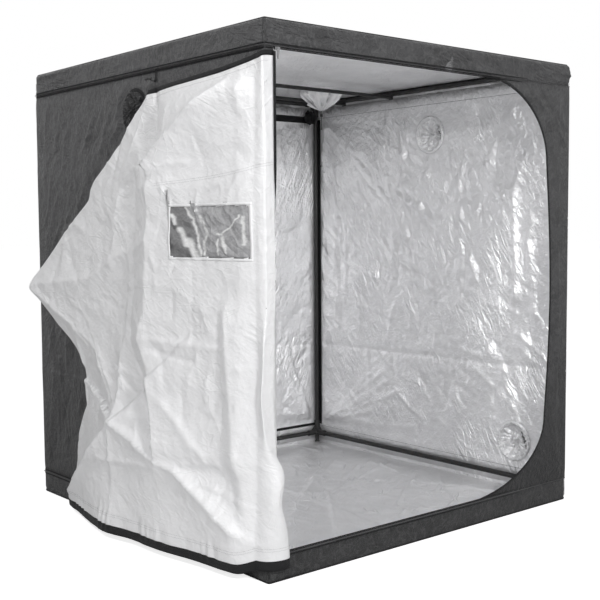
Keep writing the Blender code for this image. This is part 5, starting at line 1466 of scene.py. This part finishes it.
def make_ports():
    """Make the four ports with their rings and gathered sleeves."""
    slit = (((-0.024, 0.062), (-0.036, 0.016), (-0.062, -0.036)), 0.020, 0.0050, 0.0030)
    across = (((0.050, 0.050), (0.0, 0.0), (-0.050, -0.045)), -0.016, 0.0070, 0.0070)
    beside = (((0.020, 0.066), (-0.020, 0.030), (-0.060, -0.010)), -0.012, 0.0060, 0.0060)
    for name, centre, sign, seed, creases in (
            ("left_upper", UPPER_PORT, -1.0, 111, (across, beside)),
            ("right_upper", UPPER_PORT, 1.0, 112, (slit,)),
            ("right_lower", LOWER_PORT, 1.0, 113, (slit,))):
        port_sleeve("sleeve_" + name, "port_" + name + "_sleeve", centre, "x", sign, seed,
                    creases)
        port_ring("ring_" + name, "port_" + name + "_ring", centre, "x", sign, PORT_RADIUS)
    roof_sleeve()
    port_ring("ring_roof", "port_roof_ring", ROOF_PORT, "z", 1.0, ROOF_PORT_RADIUS)


def roof_sleeve():
    """Hang the roof port's sleeve inside the tent, drawn shut at its end."""
    turn = np.linspace(0.0, math.tau, 150, endpoint=False)
    rows = [(ROOF_PORT_RADIUS + 0.018, TOP - 0.0030), (ROOF_PORT_RADIUS + 0.002, TOP - 0.0030),
            (ROOF_PORT_RADIUS, TOP - 0.0080)]
    for share in np.linspace(0.0, 1.0, 40)[1:]:
        rows.append((0.005 + (ROOF_PORT_RADIUS - 0.005) * (1.0 - share ** 1.7) ** 0.85,
                     TOP - 0.008 - 0.107 * share))
    reach, height = np.array(rows).T[:, :, None]
    index = np.arange(len(rows))[:, None]
    pleat = np.sin(15 * turn + 0.6) + 0.7 * np.sin(26 * turn + 2.0) + 0.5 * np.sin(6 * turn)
    along = np.broadcast_to(ROOF_PORT_RADIUS * turn, (len(rows), len(turn)))
    down = np.broadcast_to(TOP - height, along.shape)
    swell = 0.0070 * pleat + 0.0100 * np.sin(5 * turn + 26.0 * down)
    swell = swell + scattered_folds(along, down, 141, 110, (0.0, 0.69, 0.0, 0.11), 0.06, 0.0150,
                                    0.006)
    swell = swell * ramp(index, 3, 14) * ramp(reach, 0.012, 0.060) * (index > 2)
    distance = reach + swell
    room = np.where(index > 2, ROOF_SLEEVE_ROOM, 1.0)
    grid = np.stack([ROOF_PORT[0] + distance * np.cos(turn),
                     ROOF_PORT[1] + np.clip(distance * np.sin(turn), -room, room),
                     height + 0.3 * swell], axis=-1)
    mapping = np.stack([along, down], axis=-1)
    sleeve = sheet_mesh("sleeve_roof", grid, mapping, [FOIL, BLACK], loop=True)
    mark(sleeve, "shade", 0.75 * np.clip(-swell / 0.012 - 0.35, 0.0, 1.0))
    mark(sleeve, "glare", np.clip(swell / 0.012 - 0.30, 0.0, 1.0))
    turn_out(sleeve, "z", 1.0, -1.0)
    thicken(sleeve, 0.0010)
    wear(sleeve, "tent", "black_cloth", "port_roof_sleeve")


# Trim

def make_row_tree():
    """A shared tree: small rounded shapes set along a line at an even pitch."""
    tree = bpy.data.node_groups.new("row_of_shapes", "GeometryNodeTree")
    names = {}
    for title, kind in (("Geometry", "NodeSocketGeometry"), ("Pitch", "NodeSocketFloat"),
                        ("Size", "NodeSocketVector"), ("Finish", "NodeSocketMaterial")):
        names[title] = tree.interface.new_socket(title, in_out="INPUT",
                                                 socket_type=kind).identifier
    tree.interface.new_socket("Geometry", in_out="OUTPUT", socket_type="NodeSocketGeometry")
    entry, leave = tree.nodes.new("NodeGroupInput"), tree.nodes.new("NodeGroupOutput")
    line = tree.nodes.new("GeometryNodeMeshToCurve")
    tree.links.new(entry.outputs["Geometry"], line.inputs[0])
    even = tree.nodes.new("GeometryNodeResampleCurve")
    even.mode = "LENGTH"
    tree.links.new(line.outputs[0], even.inputs["Curve"])
    tree.links.new(entry.outputs["Pitch"], even.inputs["Length"])
    along = tree.nodes.new("GeometryNodeInputTangent")
    facing = tree.nodes.new("GeometryNodeInputNamedAttribute")
    facing.data_type = "FLOAT_VECTOR"
    facing.inputs["Name"].default_value = "facing"
    first = tree.nodes.new("FunctionNodeAlignRotationToVector")
    first.axis = "Z"
    tree.links.new(facing.outputs["Attribute"], first.inputs["Vector"])
    second = tree.nodes.new("FunctionNodeAlignRotationToVector")
    second.axis = "X"
    second.pivot_axis = "Z"
    tree.links.new(first.outputs[0], second.inputs["Rotation"])
    tree.links.new(along.outputs[0], second.inputs["Vector"])
    shape = tree.nodes.new("GeometryNodeMeshUVSphere")
    shape.inputs["Segments"].default_value = 6
    shape.inputs["Rings"].default_value = 4
    shape.inputs["Radius"].default_value = 0.5
    put = tree.nodes.new("GeometryNodeInstanceOnPoints")
    tree.links.new(even.outputs[0], put.inputs["Points"])
    tree.links.new(shape.outputs["Mesh"], put.inputs["Instance"])
    tree.links.new(second.outputs[0], put.inputs["Rotation"])
    tree.links.new(entry.outputs["Size"], put.inputs["Scale"])
    solid = tree.nodes.new("GeometryNodeRealizeInstances")
    tree.links.new(put.outputs[0], solid.inputs[0])
    paint = tree.nodes.new("GeometryNodeSetMaterial")
    tree.links.new(solid.outputs[0], paint.inputs["Geometry"])
    tree.links.new(entry.outputs["Finish"], paint.inputs["Material"])
    tree.links.new(paint.outputs[0], leave.inputs[0])
    return tree, names


ROW_TREE, ROW_INPUTS = make_row_tree()


def row_of_shapes(name, lines, pitch, size, finish, body, slot, hinge=False):
    """Set stitches or teeth along lines of (place, facing)."""
    places, facings, edges = [], [], []
    for line in lines:
        start = len(places)
        places += [tuple(place) for place, _ in line]
        facings += [tuple(facing) for _, facing in line]
        edges += [(start + step, start + step + 1) for step in range(len(line) - 1)]
    mesh = bpy.data.meshes.new(name)
    mesh.from_pydata(places, edges, [])
    layer = mesh.attributes.new("facing", "FLOAT_VECTOR", "POINT")
    layer.data.foreach_set("vector", np.array(facings, np.float32).ravel())
    made = bpy.data.objects.new(name, mesh)
    bpy.context.scene.collection.objects.link(made)
    rows = made.modifiers.new("row", "NODES")
    rows.node_group = ROW_TREE
    rows[ROW_INPUTS["Pitch"]] = pitch
    rows[ROW_INPUTS["Size"]] = size
    rows[ROW_INPUTS["Finish"]] = finish
    made.update_tag()
    apply_modifiers(made)
    made.data.shade_smooth()
    if hinge:
        bend_at_hinge(made, slot)
    else:
        wear(made, body, slot)


def loop_line(height, out, last_x=HALF):
    """A line round the tent at one height, with its facings; the front may end it early."""
    plan, away = skirt_loop(60)
    kept = ~((away[:, 1] < -0.5) & (plan[:, 0] > last_x))
    spots = plan + away * out
    return [((x, y, height), (*side, 0.0))
            for (x, y), side, keep in zip(spots, away, kept) if keep]


def make_seams():
    """Sew the covered seams round the tent; at the front they stop short of the right corner."""
    for name, height, last_x in (("seam_top", ROOF_BAND, 0.300), ("seam_bottom", BASE_BAND, 0.200)):
        path = [place for place, _ in loop_line(height, 0.0022, last_x)]
        band = tube(name + "_tape", path, 0.0075, BAND, sides=12, flat=0.16)
        sew(band)
        for index, shift in enumerate((-0.0085, 0.0085)):
            path = [place for place, _ in loop_line(height + shift, 0.0022, last_x)]
            cord = tube(f"{name}_piping_{index}", path, 0.0020, TAPE, sides=8)
            sew(cord)
        rows = [loop_line(height + shift, 0.0036, last_x) for shift in (-0.0042, 0.0042)]
        row_of_shapes(name + "_stitches", rows, STITCH_PITCH, STITCH_SIZE, THREAD, "tent",
                      "black_webbing")
    path = [place for place, _ in loop_line(0.0060, 0.0010)]
    piping = tube("base_edge_piping", path, 0.0018, TAPE, sides=8, closed=True)
    sew(piping)


def make_inner_seams():
    """Bind the seams inside, at the corners and at the foot and head of the walls."""
    inside = HALF - 0.0034
    for name, height, radius in (("foot_seam_back", 0.106, 0.0080),
                                 ("head_seam_back", 1.893, 0.0190)):
        path = [(-inside, inside, height), (0.0, inside, height), (inside, inside, height)]
        up = (0.0, 1.0, 0.0)
        line = [tuple(np.array(a) * (1 - s) + np.array(b) * s)
                for a, b in zip(path, path[1:]) for s in np.linspace(0, 1, 30, endpoint=False)]
        seam = tube(name, line + [path[-1]], radius, TAPE, sides=10, flat=0.12, up=up)
        sew(seam)
    line = [(inside - 0.0002, inside - 0.020, z) for z in np.linspace(0.11, 1.895, 90)]
    binding = tube("corner_binding", line, 0.0200, TAPE, sides=14, flat=0.05, up=(1, 0, 0))
    sew(binding)
    share = np.linspace(0.0, 1.0, 26)
    path = [(0.770 + 0.085 * s, 0.856 - 0.006 * math.sin(9.0 * s), 1.898 + 0.016 * s)
            for s in share]
    size = 0.005 + 0.030 * np.sin(math.pi * share) ** 0.6 * (1.0 + 0.22 * np.sin(31.0 * share)
                                                             + 0.14 * np.sin(57.0 * share))
    gather = tube("corner_gather", path, list(size), TAPE, sides=22, flat=0.42,
                  up=(0.0, 1.0, 0.0))
    sew(gather)


def make_zip():
    """Sew the zip round the doorway: its tape, its coil and the stitches that hold it."""
    path = [(x, -HALF - 0.0008, z) for x, z in doorway_path(0.0015)]
    tape = tube("zip_tape", path, 0.0070, TAPE, sides=12, flat=0.09, up=(0.0, 1.0, 0.0))
    sew(tape, "zip_track", slot="zip_nylon")
    line = [((x, -HALF - 0.0020, z), (0.0, -1.0, 0.0)) for x, z in doorway_path(-0.0038)]
    row_of_shapes("zip_coil", [line], 0.0021, (0.0013, 0.0032, 0.0024), NYLON, "tent",
                  "zip_nylon")
    path = [(x, -HALF - 0.0019, z) for x, z in doorway_path(-0.0038)]
    core = tube("zip_coil_core", path, 0.0009, NYLON, sides=6, up=(0.0, 1.0, 0.0))
    wear(core, "tent", "zip_nylon")
    rows = [[((x, -HALF - 0.0016, z), (0.0, -1.0, 0.0)) for x, z in doorway_path(shift)]
            for shift in (0.0030, 0.0065)]
    row_of_shapes("zip_stitches", rows, 0.0045, (0.0030, 0.0008, 0.0007), THREAD, "tent",
                  "black_webbing")


def make_hinge_shadow_strip():
    """Lay a dark strip down the hinge side of the doorway: painted shade at the near panel's edge.
    """
    heights = np.linspace(1.885, 1.330, 60)
    # The painted shade narrows to nothing lower down the doorway.
    width = 0.0052 * (1.0 - ramp(-heights, -1.50, -1.33)) + 0.0004
    path = [(DOORWAY_LEFT - 0.0010, HINGE - 0.0075, z) for z in heights]
    tape = tube("hinge_tape", path, list(width), TAPE, sides=10, flat=0.20, up=(0.0, 1.0, 0.0))
    sew(tape, slot="zip_nylon")


def make_press_stud():
    """Set the small press stud on the binding of the far corner."""
    path = [(HALF - 0.0046 - 0.0014 * step, HALF - 0.045, 1.630) for step in range(4)]
    stud = tube("press_stud", path, [0.0070, 0.0068, 0.0056, 0.0030], ZINC, sides=18,
                up=(0.0, 0.0, 1.0))
    sew(stud, slot="zinc")


def make_door_trim(points):
    """Bind the door: its half of the zip, its hem and its stitched seams."""
    rows = points.shape[0]
    door_strip("door_zip_tape_top", points, TAPE, rows - 3, rows)
    door_strip("door_hem", points, TAPE, 0, 5)
    lines = []
    for row, last in ((8, -16), (9, -16), (160, 92), (161, 92), (rows - 5, -16)):
        part = points[row, 2:last]
        after = np.gradient(part, axis=0)
        side = np.stack([-after[:, 1], after[:, 0], np.zeros(len(part))], axis=-1)
        side = side / np.maximum(np.linalg.norm(side, axis=-1, keepdims=True), 1e-9)
        lines.append([(place, facing) for place, facing in zip(part + side * 0.0008, side)])
    row_of_shapes("door_stitches", lines, STITCH_PITCH, STITCH_SIZE, THREAD, "door",
                  "black_webbing", hinge=True)


def make_tie(name, node, path, wide, cord_path, up):
    """Sew one tie: a flat strap with its folded end, and the cord that holds the toggle."""
    strap = tube(name, path, wide, WEBBING, sides=12, flat=0.22, up=up)
    loop = tube(name + "_cord", cord_path, 0.0016, WEBBING, sides=8, up=(0.1, 0.2, 1.0))
    with bpy.context.temp_override(active_object=strap, object=strap,
                                   selected_editable_objects=[strap, loop],
                                   selected_objects=[strap, loop]):
        bpy.ops.object.join()
    sew(strap, node)


def make_ties():
    """Sew the two ties that hold the open door."""
    path = [(-0.8818, -0.190, 1.903), (-0.8835, -0.190, 1.885), (-0.8860, -0.191, 1.870),
            (-0.8880, -0.192, 1.860), (-0.8890, -0.192, 1.852)]
    cord = [(-0.8885, -0.192, 1.856), (-0.905, -0.200, 1.853), (-0.9342, -0.215, 1.8573),
            (-0.940, -0.217, 1.859)]
    make_tie("top_strap", "door_tie_top_strap", path, [0.0060, 0.0060, 0.0062, 0.0085, 0.0070],
             cord, (1.0, 0.0, 0.1))
    path = [(-0.8818, 0.872, 0.992), (-0.895, 0.856, 0.992), (-0.912, 0.835, 0.992),
            (-0.926, 0.817, 0.992), (-0.930, 0.812, 0.992)]
    cord = [(-0.928, 0.815, 0.992), (-0.9356, 0.8048, 0.992), (-0.940, 0.799, 0.992)]
    make_tie("side_strap", "door_tie_side_strap", path, [0.0060, 0.0060, 0.0060, 0.0070, 0.0050],
             cord, (0.8, 0.6, 0.0))


CAD_FINISHES = (("corner_connector", PLASTIC), ("upright", STEEL), ("rail", STEEL),
                ("hanging_bar", STEEL), ("zip_slider", ZINC), ("zip_pull", ZINC),
                ("toggle", PLASTIC), ("cord_lock", PLASTIC), ("cord_knot", WEBBING),
                ("strap", WEBBING))


def finish_hard_parts():
    """Give the frame's hard pieces their procedural finishes."""
    for thing in bpy.data.objects:
        if thing.type != "MESH" or thing.get("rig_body") or thing.get("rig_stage"):
            continue
        for word, finish in CAD_FINISHES:
            if word in thing.name and thing.name in NODE_NAMES:
                for place in thing.material_slots:
                    place.material = finish


NODE_NAMES = {thing.name for thing in bpy.data.objects if thing.type == "MESH"}


make_camera()
make_drawcord()
make_wall("wall_left_cloth", "x", -1.0, 201, [UPPER_PORT], left_wall_folds)
make_wall("wall_right_cloth", "x", 1.0, 202, [UPPER_PORT, LOWER_PORT], right_wall_folds)
make_wall("wall_back_cloth", "y", 1.0, 203, [], back_wall_folds)
make_jamb()
make_hinge_panel()
make_roof()
make_base()
door_points = make_door()
make_window()
make_door_trim(door_points)
make_ports()
make_seams()
make_inner_seams()
make_zip()
make_hinge_shadow_strip()
make_press_stud()
make_ties()
finish_hard_parts()
make_floor()
make_world()
for lamp_words in LAMPS:
    lamp(*lamp_words)
